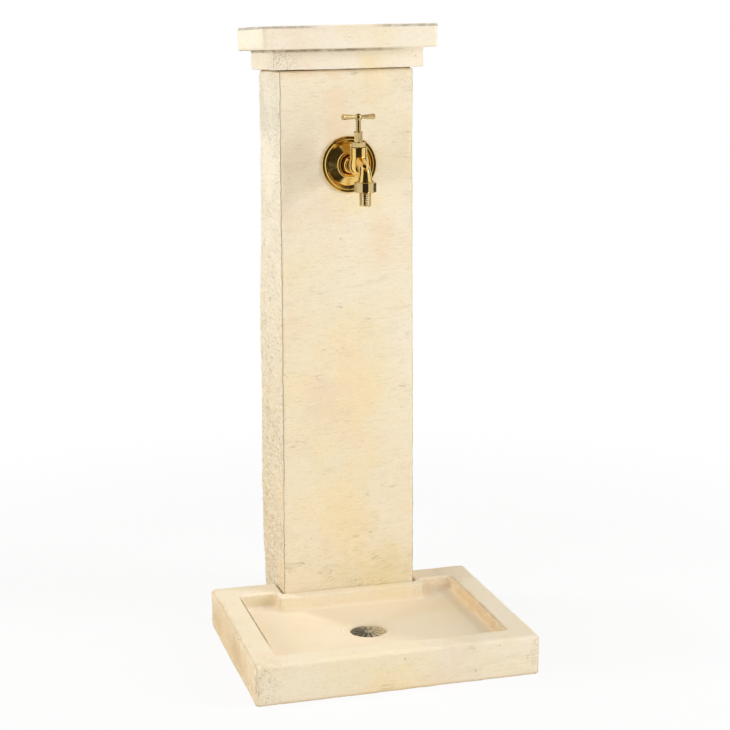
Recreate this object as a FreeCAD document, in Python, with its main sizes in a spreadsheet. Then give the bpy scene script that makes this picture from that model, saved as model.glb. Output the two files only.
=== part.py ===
"""Column fountain: a cast stone column and basin with a brass garden tap.

Millimetres. +Z is up and the front looks along -Y. The origin is on the ground, in the
middle of the footprint's bounding box. A "setback" is measured from the basin's front edge.
"""
import FreeCAD, Part
import math
import os
import re

import Sketcher
from FreeCAD import Vector

doc = FreeCAD.newDocument("column_fountain")

# Driving sizes

SIZES = {
    # Basin: a shallow tray with a notch in its back edge for the column
    "basin_width": 455.0,
    "basin_depth": 360.0,
    "basin_height": 63.0,
    "basin_edge_round": 7.5,
    "basin_rim_round": 6.0,
    "side_rim": 40.5,
    "front_rim": 40.0,
    "back_rim": 49.0,
    "recess_drop": 22.0,
    "recess_draft": 3.0,
    "recess_rim_round": 1.8,
    "notch_depth": 56.0,
    "notch_gap": 3.5,
    "notch_front_wall": 22.0,
    "notch_side_wall": 10.0,
    "notch_wall_corner": 9.0,
    "drain_drop": 33.0,
    "drain_flat": 38.0,
    "drain_to_wall": 99.0,
    "drain_ring_land": 12.3,
    "drain_ring_sink": 1.0,
    # Column, standing on the ground in the notch
    "column_shift": 2.0,
    "column_foot_width": 229.0,
    "column_taper": 3.0,
    "column_depth": 150.0,
    "column_height": 930.0,
    "column_edge_round": 3.5,
    "chase_margin": 3.0,
    "chase_depth": 85.0,
    "chase_headroom": 45.0,
    # Capital of two steps on a thin bed
    "bed_thickness": 2.0,
    "bed_inset": 4.0,
    "lower_step_height": 31.0,
    "lower_step_overhang": 12.5,
    "upper_step_height": 37.0,
    "upper_step_overhang": 32.5,
    "upper_step_back": 14.0,
    "capital_edge_round": 3.0,
    "capital_corner_round": 8.0,
    # Waste socket and strainer in the drain
    "ledge_height": 23.0,
    "waste_throat": 20.15,
    "waste_wall": 4.25,
    "waste_flange_reach": 6.3,
    "waste_flange_thickness": 2.0,
    "strainer_thickness": 2.0,
    "strainer_dome": 3.0,
    "strainer_margin": 3.8,
    "strainer_slot_margin": 2.5,
    "strainer_slot_width": 3.4,
    "strainer_slot_inner": 7.0,
    # Clearances: between fixed pieces, between running pieces and round small pins
    "fit_gap": 0.1,
    "run_gap": 0.05,
    "pin_gap": 0.02,
    "drop_in_gap": 0.4,
    # Tap: reaches are measured from the column's face, rises from the inlet's axis
    "tap_shift": 4.5,
    "inlet_drop": 150.0,
    "valve_reach": 57.5,
    "spout_reach": 38.0,
    "thread_half": 10.48,
    "shank_length": 12.0,
    "collar_step": 2.52,
    "collar_thickness": 6.0,
    "collar_chamfer": 1.2,
    "neck_step": 1.2,
    "globe_swell": 1.75,
    "barrel_wall": 4.2,
    "barrel_length": 18.0,
    "barrel_chamfer": 1.0,
    "shoulder_height": 3.5,
    "spout_rise": 12.0,
    "spout_radius": 9.2,
    "spout_bend": 12.0,
    "spout_corner_drop": 3.5,
    "spout_drop": 15.0,
    "spout_flare_height": 9.0,
    "spout_collar_step": 2.0,
    "spout_collar_height": 4.0,
    "waterway": 5.5,
    "seat_bore": 5.0,
    "seat_rise": 8.0,
    "way_out_bore": 4.6,
    "way_out_lift": 4.4,
    # Rosette between the tap's collar and the column
    "rosette_radius": 45.7,
    "rosette_depth": 14.0,
    "rosette_sheet": 1.6,
    "rosette_rim": 9.5,
    "rosette_rim_thickness": 3.0,
    "rosette_rim_step": 1.2,
    "rosette_rim_dip": 0.6,
    "rosette_bead_land": 6.4,
    "rosette_bead_half": 3.2,
    "rosette_boss_step": 3.9,
    "rosette_hollow": 1.9,
    # Headwork with its gland
    "fibre_thickness": 0.8,
    "bonnet_thread_step": 0.9,
    "bonnet_nose": 9.0,
    "bonnet_shoulder": 1.0,
    "bonnet_hex_height": 7.2,
    "bonnet_hex_turn": 20.0,
    "gland_neck_wall": 0.75,
    "gland_neck_height": 11.0,
    "packing_height": 4.0,
    "packing_wall": 1.4,
    "gland_wall": 1.05,
    "gland_skirt": 1.2,
    "gland_roof": 7.0,
    "gland_rim_height": 2.4,
    "gland_flare": 1.55,
    "gland_hex_turn": 8.0,
    "spindle_radius": 3.0,
    "spindle_thread_step": 1.2,
    "spindle_thread_length": 12.0,
    "spindle_clearance": 2.0,
    # Jumper valve under the spindle
    "valve_lift": 5.0,
    "lift_clearance": 1.5,
    "chamber_gap": 1.2,
    "jumper_washer_radius": 7.0,
    "jumper_washer_thickness": 3.5,
    "jumper_disc_lip": 0.4,
    "jumper_disc_thickness": 3.0,
    "jumper_stem_radius": 2.0,
    "jumper_stem_length": 15.0,
    "jumper_stem_play": 1.0,
    "jumper_stud_radius": 1.5,
    "jumper_nut_wall": 1.7,
    "jumper_nut_height": 2.0,
    # T-handle
    "handle_gap": 0.6,
    "handle_socket_gap": 0.03,
    "handle_stem_wall": 1.07,
    "handle_stem_length": 21.4,
    "handle_hub_radius": 5.6,
    "handle_bar_length": 57.0,
    "handle_bar_waist": 2.7,
    "handle_bar_end": 4.7,
    "handle_tip_length": 4.0,
    "handle_tip_fall": 0.3,
    "handle_tip_chamfer": 0.8,
    "handle_rest_turn": 12.0,
    "handle_pin_radius": 1.0,
    "handle_pin_rise": 8.6,
    # Hose union under the outlet
    "outlet_thread_half": 13.2,
    "outlet_thread_length": 11.0,
    "hose_bore": 6.5,
    "hose_neck_wall": 2.4,
    "hose_barb_rise": 0.85,
    "hose_barb_pitch": 3.4,
    "hose_end_step": 0.6,
    "hose_tail_length": 21.5,
    "hose_washer_thickness": 2.5,
    "hose_flange_thickness": 2.5,
    "hose_flange_gap": 0.6,
    "union_nut_wall": 4.55,
    "union_nut_lip": 2.5,
    "union_nut_height": 16.5,
    "union_nut_ease": 2.6,
    "union_lip_gap": 0.35,
    # Pipework in the chase
    "pipe_radius": 7.5,
    "pipe_wall": 1.0,
    "pipe_seat": 3.0,
    "nipple_gap": 1.0,
    "nipple_hole_gap": 0.6,
    "nipple_wall": 2.87,
    "nipple_web": 4.0,
    "nipple_thread_length": 11.0,
    "nipple_bore": 7.0,
    "flange_width": 58.0,
    "flange_height": 30.0,
    "flange_corner": 9.0,
    "flange_thickness": 4.0,
    "elbow_wall": 3.47,
    "elbow_leg": 18.0,
    "elbow_leg_step": 1.0,
    "screw_edge": 7.0,
    "screw_radius": 2.0,
    "screw_hole_gap": 0.2,
    "screw_length": 32.0,
    "screw_point": 3.0,
    "screw_head_step": 2.0,
    "screw_head_height": 2.6,
    "plug_wall": 1.85,
    "plug_length": 28.0,
    "plug_hole_spare": 4.0,
    "compression_wall": 3.5,
    "compression_thread_length": 12.0,
    "compression_nut_wall": 1.95,
    "compression_nut_gap": 2.0,
    "compression_nut_ease": 1.4,
    "olive_height": 4.8,
    "olive_wall": 1.8,
    "olive_edge": 0.7,
    "nut_floor": 2.0,
    "coupler_height": 24.0,
    "coupler_thread_length": 16.0,
    "coupler_hex_height": 12.0,
    "coupler_hex_step": 1.0,
    "clip_height": 14.0,
    "clip_wall": 2.4,
    "clip_neck_half": 4.5,
    "clip_mouth_half": 5.6,
    "clip_base_thickness": 3.0,
    "clip_screw_gap": 3.1,
    "clip_edge": 2.0,
    "lower_clip_height": 290.0,
    "upper_clip_drop": 190.0,
}

# Places and radii worked out from the driving sizes

PLACES = {
    "column_setback": "basin_depth - notch_depth",
    "total_depth": "column_setback + column_depth + upper_step_back",
    "front_y": "-total_depth / 2",
    "face_y": "front_y + column_setback",
    "recess_z": "basin_height - recess_drop",
    "drain_z": "basin_height - drain_drop",
    "drain_setback": "column_setback - notch_front_wall - drain_to_wall",
    "drain_radius": "waste_throat + waste_wall + waste_flange_reach",
    "drain_ring_radius": "drain_radius + drain_ring_land",
    "notch_half": "column_foot_width / 2 + notch_gap",
    "notch_wall_half": "notch_half + notch_side_wall",
    "column_top_half": "column_foot_width / 2 - column_taper",
    "chase_wall": "column_depth - chase_depth",
    "chase_half": "flange_width / 2 + chase_margin",
    "inlet_height": "column_height - inlet_drop",
    "chase_top": "inlet_height + chase_headroom",
    "capital_z": "column_height + bed_thickness",
    "strainer_radius": "drain_radius - drop_in_gap",
    "strainer_flat": "strainer_radius - strainer_margin",
    "strainer_slot_outer": "strainer_flat - strainer_slot_margin",
    "outlet_reach": "valve_reach + spout_reach",
    "collar_radius": "thread_half + collar_step",
    "neck_radius": "thread_half + neck_step",
    "jumper_disc_radius": "jumper_washer_radius + jumper_disc_lip",
    "chamber_radius": "jumper_disc_radius + chamber_gap",
    "bonnet_thread_half": "chamber_radius + bonnet_thread_step",
    "barrel_radius": "bonnet_thread_half + run_gap + barrel_wall",
    "globe_radius": "barrel_radius + globe_swell",
    "washer_top": "seat_rise + jumper_washer_thickness",
    "disc_top": "washer_top + jumper_disc_thickness",
    "nose_z": "disc_top + valve_lift + lift_clearance",
    "barrel_rise": "nose_z + bonnet_nose",
    "barrel_foot": "barrel_rise - barrel_length",
    "spout_end": "-spout_drop",
    "spout_collar_radius": "spout_radius + spout_collar_step",
    "outlet_thread_top": "spout_end - spout_collar_height",
    "outlet_end": "outlet_thread_top - outlet_thread_length",
    "rosette_bead": "collar_radius + rosette_bead_land",
    "rosette_bead_z": "rosette_depth - rosette_boss_step",
    "rosette_hollow_z": "rosette_bead_z - rosette_hollow",
    "rosette_inner": "rosette_radius - rosette_rim",
    "rosette_cone_z": "rosette_rim_thickness - rosette_rim_dip",
    "bonnet_seat": "barrel_rise + fibre_thickness",
    "bonnet_top": "bonnet_seat + bonnet_hex_height",
    "bonnet_flats": "2 * (bonnet_thread_half + bonnet_shoulder)",
    "gland_neck_top": "bonnet_top + gland_neck_height",
    "gland_top": "gland_neck_top + gland_roof",
    "packing_z": "gland_neck_top - packing_height",
    "packing_radius": "spindle_radius + packing_wall",
    "gland_neck_radius": "packing_radius + run_gap + gland_neck_wall",
    "gland_flats": "2 * (gland_neck_radius + run_gap + gland_wall)",
    "spindle_z": "nose_z + spindle_clearance",
    "spindle_thread_half": "spindle_radius + spindle_thread_step",
    "spindle_top": "hub_z - handle_hub_radius - 2",
    "stem_top": "disc_top + jumper_stem_length",
    "handle_z": "gland_top + handle_gap",
    "handle_stem_radius": "spindle_radius + handle_socket_gap + handle_stem_wall",
    "hub_z": "handle_z + handle_stem_length",
    "pin_z": "handle_z + handle_pin_rise",
    "hose_neck_radius": "hose_bore + hose_neck_wall",
    "hose_barb_radius": "hose_neck_radius + hose_barb_rise",
    "hose_flange_radius": "outlet_thread_half - hose_flange_gap",
    "hose_flange_top": "outlet_end - hose_washer_thickness",
    "hose_flange_z": "hose_flange_top - hose_flange_thickness",
    "hose_end": "hose_flange_z - hose_tail_length - union_nut_lip",
    "union_z": "hose_flange_z - union_nut_lip",
    "union_top": "union_z + union_nut_height",
    "union_radius": "outlet_thread_half + run_gap + union_nut_wall",
    "elbow_y": "face_y + chase_wall",
    "elbow_radius": "thread_half + run_gap + elbow_wall",
    "pipe_standoff": "elbow_radius + flange_thickness",
    "pipe_y": "elbow_y + pipe_standoff",
    "pipe_bore": "pipe_radius - pipe_wall",
    "nipple_radius": "thread_half + run_gap + nipple_wall",
    "nipple_head_end": "nipple_gap + shank_length + nipple_web",
    "nipple_hole_radius": "nipple_radius + nipple_hole_gap",
    "screw_spacing": "flange_width - 2 * screw_edge",
    "screw_head_radius": "screw_radius + screw_head_step",
    "plug_radius": "screw_radius + run_gap + plug_wall",
    "clip_ear": "pipe_radius + clip_wall + screw_head_radius + clip_screw_gap",
    "upper_clip_height": "inlet_height - upper_clip_drop",
    "compression_thread_half": "pipe_radius + compression_wall",
    "compression_flats": "2 * (compression_thread_half + run_gap + compression_nut_wall)",
    "leg_z": "-elbow_leg",
    "leg_end": "leg_z - compression_thread_length",
    "pipe_top": "leg_z + pipe_seat",
    "coupler_hex_z": "coupler_height + coupler_thread_length",
    "coupler_neck_z": "coupler_hex_z + coupler_hex_height",
    "coupler_top": "coupler_neck_z + compression_thread_length",
    "pipe_foot": "coupler_neck_z - 1",
}

HOSE_BARBS = 6
STRAINER_SLOTS = 12

sheet = doc.addObject("Spreadsheet::Sheet", "dims")
for row, (name, value) in enumerate(SIZES.items(), start=1):
    sheet.set(f"A{row}", name)
    sheet.set(f"B{row}", str(value))
    sheet.setAlias(f"B{row}", name)
doc.recompute()


def formula(text):
    """Writes a size formula out in the sheet's cells."""
    word = re.compile(r"[a-z]+(?:_[a-z]+)+|waterway")
    while any(found in PLACES for found in word.findall(text)):
        text = word.sub(lambda m: f"({PLACES[m[0]]})" if m[0] in PLACES else m[0], text)
    return word.sub(lambda m: f"dims.{m[0]}" if m[0] in SIZES else m[0], text)


def number(text):
    """The present value of a size formula."""
    result = sheet.evalExpression(formula(text))
    return float(getattr(result, "Value", result))


def bind(thing, prop, text):
    thing.setExpression(prop, formula(text))


# Sketches and features

UP_AXIS = "V_Axis"
LEVEL_AXIS = "H_Axis"


def new_body(label, x="0", y="0", z="0"):
    body = doc.addObject("PartDesign::Body", label)
    body.Label = label
    for axis, text in zip("xyz", (x, y, z)):
        bind(body, f"Placement.Base.{axis}", text)
    return body


def new_sketch(body, name, plane, offset="0", shift="0", rise="0"):
    """A sketch on one of the body's own planes, moved along its normal and its two axes."""
    sketch = body.newObject("Sketcher::SketchObject", f"{body.Label}_{name}")
    origin_plane = next(f for f in body.Origin.OriginFeatures if f.Role == f"{plane}_Plane")
    sketch.AttachmentSupport = (origin_plane, [""])
    sketch.MapMode = "FlatFace"
    for axis, text in zip("xyz", (shift, rise, offset)):
        bind(sketch, f"AttachmentOffset.Base.{axis}", text)
    return sketch


def fix_point(sketch, geometry, end, x, y):
    """Holds one end of a piece of geometry at a place given by two formulas."""
    for kind, text in (("DistanceX", x), ("DistanceY", y)):
        index = sketch.addConstraint(Sketcher.Constraint(kind, geometry, end, number(text)))
        bind(sketch, f"Constraints[{index}]", text)


def arc_between(start, end, radius, side):
    """The minor arc from start to end whose centre lies on the given side of the chord."""
    chord = end - start
    rise = math.sqrt(max(radius ** 2 - (chord.Length / 2) ** 2, 0.0))
    normal = Vector(-chord.y, chord.x, 0).normalize() * side
    centre = (start + end) / 2 + normal * rise
    middle = centre - normal * radius
    return Part.Arc(start, middle, end)


def is_arc(point):
    return len(point) == 4


def ends_of(point):
    """Which ends of its piece of geometry lie before and after; a clockwise arc is stored backwards."""
    if is_arc(point) and point[3] < 0:
        return 2, 1
    return 1, 2


def outline(sketch, points, is_open=False):
    """Lines and arcs through points: (x, y), or (x, y, radius, side) where an arc leads to it."""
    places = [Vector(number(p[0]), number(p[1]), 0) for p in points]
    reached = range(1 if is_open else 0, len(points))
    ids = {}
    for i in reached:
        if is_arc(points[i]):
            edge = arc_between(places[i - 1], places[i], number(points[i][2]), points[i][3])
        else:
            edge = Part.LineSegment(places[i - 1], places[i])
        ids[i] = sketch.addGeometry(edge, False)
    for i in reached:
        before = (i - 1) % len(points)
        if before in ids:
            joint = (ids[before], ends_of(points[before])[1], ids[i], ends_of(points[i])[0])
            sketch.addConstraint(Sketcher.Constraint("Coincident", *joint))
        if is_arc(points[i]):
            index = sketch.addConstraint(Sketcher.Constraint("Radius", ids[i], number(points[i][2])))
            bind(sketch, f"Constraints[{index}]", points[i][2])
    for i in reached:
        fix_point(sketch, ids[i], ends_of(points[i])[1], points[i][0], points[i][1])
    if is_open:
        fix_point(sketch, ids[1], ends_of(points[1])[0], points[0][0], points[0][1])
    return sketch


def ring(sketch, radius, x="0", y="0"):
    """A circle held by its centre and radius."""
    centre = Vector(number(x), number(y), 0)
    index = sketch.addGeometry(Part.Circle(centre, Vector(0, 0, 1), number(radius)), False)
    fix_point(sketch, index, 3, x, y)
    constraint = sketch.addConstraint(Sketcher.Constraint("Radius", index, number(radius)))
    bind(sketch, f"Constraints[{constraint}]", radius)
    return sketch


def box_points(x_low, x_high, y_low, y_high):
    return [(x_low, y_low), (x_high, y_low), (x_high, y_high), (x_low, y_high)]


def corner_of(count, flats):
    """Half the size across the corners of a regular prism."""
    return f"({flats}) * {0.5 / math.cos(math.pi / count):.9f}"


def regular_points(count, flats, turn):
    """Corners of a regular prism, the first one turned from the x axis by a formula in degrees."""
    corner = corner_of(count, flats)
    angles = [f"({turn} + {360 / count * i}) * 1 deg" for i in range(count)]
    return [(f"{corner} * cos({angle})", f"{corner} * sin({angle})") for angle in angles]


def feature(body, kind, name, **values):
    made = body.newObject(f"PartDesign::{kind}", f"{body.Label}_{name}")
    for key, value in values.items():
        setattr(made, key, value)
    return made


def pad(body, sketch, length, backwards=False):
    made = feature(body, "Pad", f"pad_of_{sketch.Name}", Profile=sketch, Reversed=backwards)
    bind(made, "Length", length)
    return made


def pocket(body, sketch, length, backwards=False):
    made = feature(body, "Pocket", f"pocket_of_{sketch.Name}", Profile=sketch, Reversed=backwards)
    bind(made, "Length", length)
    return made


def turned(body, sketch, axis=UP_AXIS, cut=False):
    kind = "Groove" if cut else "Revolution"
    made = feature(body, kind, f"turn_of_{sketch.Name}", Profile=sketch)
    made.ReferenceAxis = (sketch, [axis])
    made.Angle = 360.0
    return made


def turn_up(body, name, points, cut=False, plane="XZ", shift="0"):
    """Turns an outline of (radius, height) points about a vertical axis."""
    return turned(body, outline(new_sketch(body, name, plane, shift=shift), points), UP_AXIS, cut)


def turn_level(body, name, points, cut=False):
    """Turns an outline of (length, radius) points about the axis that runs from front to back."""
    return turned(body, outline(new_sketch(body, name, "YZ"), points), LEVEL_AXIS, cut)


def round_edges(body, source, radius, test):
    """Fillets the edges of a feature whose middle passes the test."""
    doc.recompute()
    names = []
    for i, edge in enumerate(source.Shape.Edges, start=1):
        middle = edge.valueAt((edge.FirstParameter + edge.LastParameter) / 2)
        if test(edge, middle):
            names.append(f"Edge{i}")
    made = feature(body, "Fillet", f"round_{source.Name}", Base=(source, names))
    bind(made, "Radius", radius)
    doc.recompute()
    return made


def near(a, b):
    return abs(a - b) < 0.01


def runs_along(edge, axis):
    """True where a straight edge runs along the named axis, give or take a taper."""
    return isinstance(edge.Curve, Part.Line) and abs(getattr(edge.Curve.Direction, axis)) > 0.9


def prism(body, name, count, flats, low, high, turn="0", ease=None):
    """A regular prism; ease is the depth by which its corners are turned back at both ends."""
    sketch = outline(new_sketch(body, name, "XY", offset=low), regular_points(count, flats, turn))
    pad(body, sketch, f"({high}) - ({low})")
    if ease is None:
        return
    corner = corner_of(count, flats)
    far = f"{corner} + 2"
    outside = f"{corner} + 0.01"
    for end, level, inward in (("low", low, "+"), ("high", high, "-")):
        eased = f"({level}) {inward} ({ease}) * 0.6"
        points = [(f"{corner} - ({ease})", level), (far, level), (far, eased), (outside, eased)]
        turn_up(body, f"{name}_{end}_ease", points, cut=True)


# Basin

def make_basin():
    body = new_body("basin", y="front_y")
    half = "basin_width / 2"
    plan = outline(new_sketch(body, "plan", "XY"), box_points(f"-{half}", half, "0", "basin_depth"))
    pad(body, plan, "basin_height")
    hollow_recess(body)
    fill_falls(body)
    wall_round_notch(body)
    cut_notch(body)
    bore_drain(body)
    round_basin(body)


def hollow_recess(body):
    """An upright recess down to the drain's level, before its sides are filled in."""
    side = "basin_width / 2 - side_rim"
    plan = outline(new_sketch(body, "recess", "XY", offset="basin_height"),
                   box_points(f"-({side})", side, "front_rim", "basin_depth - back_rim"))
    pocket(body, plan, "drain_drop")


def fall_points(rim, inward, flat):
    """Section of one side: the drafted wall, then the fall to the flat round the drain."""
    outward = "-" if inward == "+" else "+"
    outside = f"{rim} {outward} 1"
    return [(outside, "basin_height"), (rim, "basin_height"), (f"{rim} {inward} recess_draft", "recess_z"),
            (flat, "drain_z"), (flat, "drain_z - 1"), (outside, "drain_z - 1")]


def fill_falls(body):
    """Four sides that meet in hips: left and right run from front to back, the others across."""
    side = "basin_width / 2 - side_rim"
    flanks = new_sketch(body, "flanks", "XZ", offset="1 - front_rim")
    outline(flanks, fall_points(f"-({side})", "+", "-drain_flat"))
    outline(flanks, fall_points(side, "-", "drain_flat"))
    pad(body, flanks, "basin_depth - front_rim - back_rim + 2", backwards=True)
    ends = new_sketch(body, "ends", "YZ", offset=f"-({side}) - 1")
    outline(ends, fall_points("front_rim", "+", "drain_setback - drain_flat"))
    outline(ends, fall_points("basin_depth - back_rim", "-", "drain_setback + drain_flat"))
    pad(body, ends, "basin_width - 2 * side_rim + 2")


def wall_round_notch(body):
    """A raised block across the recess's back, which carries the rim round the column's foot."""
    left = "column_shift - notch_wall_half"
    right = "column_shift + notch_wall_half"
    front = "column_setback - notch_front_wall"
    back = "basin_depth - back_rim + 1"
    corner = "notch_wall_corner"
    points = [(left, back), (left, f"{front} + {corner}"), (f"{left} + {corner}", front, corner, 1),
              (f"{right} - {corner}", front), (right, f"{front} + {corner}", corner, 1), (right, back)]
    sketch = outline(new_sketch(body, "notch_wall", "XY", offset="drain_z / 2"), points)
    pad(body, sketch, "basin_height - drain_z / 2")


def cut_notch(body):
    """The notch in the back edge in which the column stands."""
    notch = outline(new_sketch(body, "notch", "XY", offset="basin_height"),
                    box_points("column_shift - notch_half", "column_shift + notch_half",
                               "column_setback", "basin_depth + 1"))
    pocket(body, notch, "basin_height + 1")


def bore_drain(body):
    """A shallow ring round the drain, the well for the strainer and the hole for the socket."""
    steps = [("drain_ring", "drain_ring_radius", "drain_z - drain_ring_sink"),
             ("drain_hole", "drain_radius", "ledge_height - waste_flange_thickness"),
             ("throat", "waste_throat + waste_wall + fit_gap", "-1")]
    for name, radius, floor in steps:
        sketch = new_sketch(body, name, "XY", offset="recess_z")
        pocket(body, ring(sketch, radius, y="drain_setback"), f"recess_z - ({floor})")


def round_basin(body):
    height = number("basin_height")
    half = number("basin_width / 2")
    depth = number("basin_depth")
    notch = number("notch_half")
    shift = number("column_shift")

    def outer_corner(edge, middle):
        at_side = near(abs(middle.x), half)
        at_end = near(middle.y, 0) or near(middle.y, depth)
        return runs_along(edge, "z") and at_side and at_end

    def outer_rim(edge, middle):
        at_side = abs(middle.x) > half - 1
        at_front = middle.y < 1
        at_back = middle.y > depth - 1 and abs(middle.x - shift) > notch
        return near(middle.z, height) and (at_side or at_front or at_back)

    def recess_rim(edge, middle):
        at_notch = near(middle.y, number("column_setback")) or near(abs(middle.x - shift), notch)
        y_low, y_high = number("front_rim"), number("basin_depth - back_rim")
        inside = abs(middle.x) < half - number("side_rim") + 1 and y_low - 1 < middle.y < y_high + 1
        return near(middle.z, height) and inside and not at_notch

    corners = round_edges(body, body.Tip, "basin_edge_round", outer_corner)
    inner = round_edges(body, corners, "recess_rim_round", recess_rim)
    round_edges(body, inner, "basin_rim_round", outer_rim)


# Column

def make_column():
    body = new_body("column", x="column_shift", y="face_y")
    foot = "column_foot_width / 2"
    front = new_sketch(body, "front", "XZ")
    outline(front, [(f"-{foot}", "0"), (foot, "0"), ("column_top_half", "column_height"),
                    ("-column_top_half", "column_height")])
    shaft = pad(body, front, "column_depth", backwards=True)
    round_edges(body, shaft, "column_edge_round", lambda edge, middle: runs_along(edge, "z"))
    cut_chase(body)
    cut_fixings(body)


def cut_chase(body):
    """The open channel in the back that takes the pipe, and the hole through to the tap."""
    middle = "tap_shift - column_shift"
    chase = new_sketch(body, "chase", "XZ", offset="-column_depth")
    outline(chase, box_points(f"{middle} - chase_half", f"{middle} + chase_half", "-1", "chase_top"))
    pocket(body, chase, "chase_depth", backwards=True)
    hole = ring(new_sketch(body, "nipple_hole", "XZ"), "nipple_hole_radius", x=middle, y="inlet_height")
    pocket(body, hole, "chase_wall + 1")


ELBOW_FIXINGS = [("-screw_spacing / 2", "inlet_height"), ("screw_spacing / 2", "inlet_height")]
CLIP_FIXINGS = [("clip_ear", "lower_clip_height"), ("clip_ear", "upper_clip_height")]


def cut_fixings(body):
    """Blind holes for the wall plugs, drilled from the chase."""
    sketch = new_sketch(body, "plug_holes", "XZ", offset="-chase_wall")
    for x, height in ELBOW_FIXINGS + CLIP_FIXINGS:
        ring(sketch, "plug_radius + fit_gap", x=f"tap_shift - column_shift + {x}", y=height)
    pocket(body, sketch, "plug_length + plug_hole_spare", backwards=True)


# Capital

def make_capital_bed():
    body = new_body("capital_bed", x="column_shift", y="face_y", z="column_height")
    plan = outline(new_sketch(body, "plan", "XY"),
                   box_points("bed_inset - column_top_half", "column_top_half - bed_inset",
                              "bed_inset", "column_depth - bed_inset"))
    pad(body, plan, "bed_thickness")


def make_capital():
    body = new_body("capital", x="column_shift", y="face_y", z="capital_z")
    reach = "column_top_half + lower_step_overhang"
    lower = outline(new_sketch(body, "lower_step", "XY"),
                    box_points(f"-({reach})", reach, "-lower_step_overhang", "column_depth"))
    pad(body, lower, "lower_step_height")
    reach = "column_top_half + upper_step_overhang"
    upper = outline(new_sketch(body, "upper_step", "XY", offset="lower_step_height"),
                    box_points(f"-({reach})", reach, "-upper_step_overhang",
                               "column_depth + upper_step_back"))
    steps = pad(body, upper, "upper_step_height")
    round_capital(body, steps, number(reach))


def round_capital(body, steps, side_x):
    """Rounds the upper step's corners, then its top and bottom arrises."""
    top = number("lower_step_height + upper_step_height")
    bottom = number("lower_step_height")
    front_y = -number("upper_step_overhang")
    back_y = number("column_depth + upper_step_back")
    margin = number("capital_corner_round")

    def side_corner(edge, middle):
        return runs_along(edge, "z") and near(abs(middle.x), side_x)

    def arris(edge, middle):
        is_outer = abs(middle.x) > side_x - margin or middle.y < front_y + margin or middle.y > back_y - 1
        return near(middle.z, top) or (near(middle.z, bottom) and is_outer)

    corners = round_edges(body, steps, "capital_corner_round", side_corner)
    round_edges(body, corners, "capital_edge_round", arris)


# Waste and strainer

def make_waste_socket():
    """A flanged socket for the waste pipe; its flange lies on the ledge in the drain."""
    body = new_body("waste_socket", y="front_y + drain_setback")
    outer = "waste_throat + waste_wall"
    flange = "drain_radius - fit_gap"
    flange_z = "ledge_height - waste_flange_thickness"
    turn_up(body, "section", [("waste_throat", "0"), (outer, "0"), (outer, flange_z), (flange, flange_z),
                              (flange, "ledge_height"), ("waste_throat", "ledge_height")])


def make_strainer():
    """A slightly domed plate with slots like spokes."""
    body = new_body("strainer", y="front_y + drain_setback", z="ledge_height")
    crown = "strainer_dome + strainer_thickness"
    turn_up(body, "section", [("0", "strainer_dome"), ("strainer_flat", "0"), ("strainer_radius", "0"),
                              ("strainer_radius", "strainer_thickness"),
                              ("strainer_flat", "strainer_thickness"), ("0", crown)])
    half = "strainer_slot_width / 2"
    slot = outline(new_sketch(body, "slot", "XY", offset="-1"),
                   box_points(f"-{half}", half, "strainer_slot_inner", "strainer_slot_outer"))
    cut = pocket(body, slot, f"{crown} + 2", backwards=True)
    doc.recompute()
    pattern = feature(body, "PolarPattern", "slots", Originals=[cut])
    pattern.Axis = (slot, ["N_Axis"])
    pattern.Angle = 360.0
    pattern.Occurrences = STRAINER_SLOTS
    body.Tip = pattern


# Tap

def tap_piece(label, reach="valve_reach"):
    """A body on the inlet's level, at a distance in front of the column's face."""
    return new_body(label, x="tap_shift", y=f"face_y - {reach}", z="inlet_height")


def make_rosette():
    """A dished plate: flat rim with a step, hollow cone, raised bead and a boss for the collar."""
    body = tap_piece("rosette", "0")
    bore = "thread_half + fit_gap"
    rim_step = "rosette_radius - rosette_rim / 2"
    bead_out = "rosette_bead + rosette_bead_half"
    bead_in = "rosette_bead - rosette_bead_half"
    front = [
        ("0", "rosette_radius"),
        ("1 - rosette_rim_thickness", "rosette_radius"),
        ("-rosette_rim_thickness", "rosette_radius - 1"),
        ("-rosette_rim_thickness", rim_step),
        ("-rosette_rim_thickness - rosette_rim_step", f"{rim_step} - rosette_rim_step"),
        ("-rosette_rim_thickness - rosette_rim_step", "rosette_inner"),
        ("-rosette_cone_z", "rosette_inner - 1.5"),
        ("-rosette_bead_z", bead_out),
        ("-rosette_bead_z", bead_in, "rosette_bead_half + 0.05", 1),
        ("-rosette_hollow_z", f"{bead_in} - 0.8"),
        ("-rosette_depth", "collar_radius + 1"),
        ("-rosette_depth", bore),
    ]
    inner_z = "rosette_sheet - rosette_hollow_z"
    foot_radius = "rosette_radius - rosette_sheet * 1.5"
    back = [
        ("rosette_sheet - rosette_depth", bore),
        ("rosette_sheet - rosette_depth", "collar_radius"),
        (inner_z, "collar_radius + 1"),
        (inner_z, f"{bead_out} - 1"),
        ("rosette_sheet - rosette_cone_z", "rosette_inner - 2.5"),
        ("rosette_sheet - rosette_cone_z", foot_radius),
        ("0", foot_radius),
    ]
    turn_level(body, "section", front + back)


def make_tap_body():
    body = tap_piece("tap_body")
    turn_valve_case(body)
    turn_inlet(body)
    sweep_spout(body, "spout", "spout_radius", "spout_rise", "AdditivePipe")
    turn_outlet(body)
    bore_waterways(body)


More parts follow.
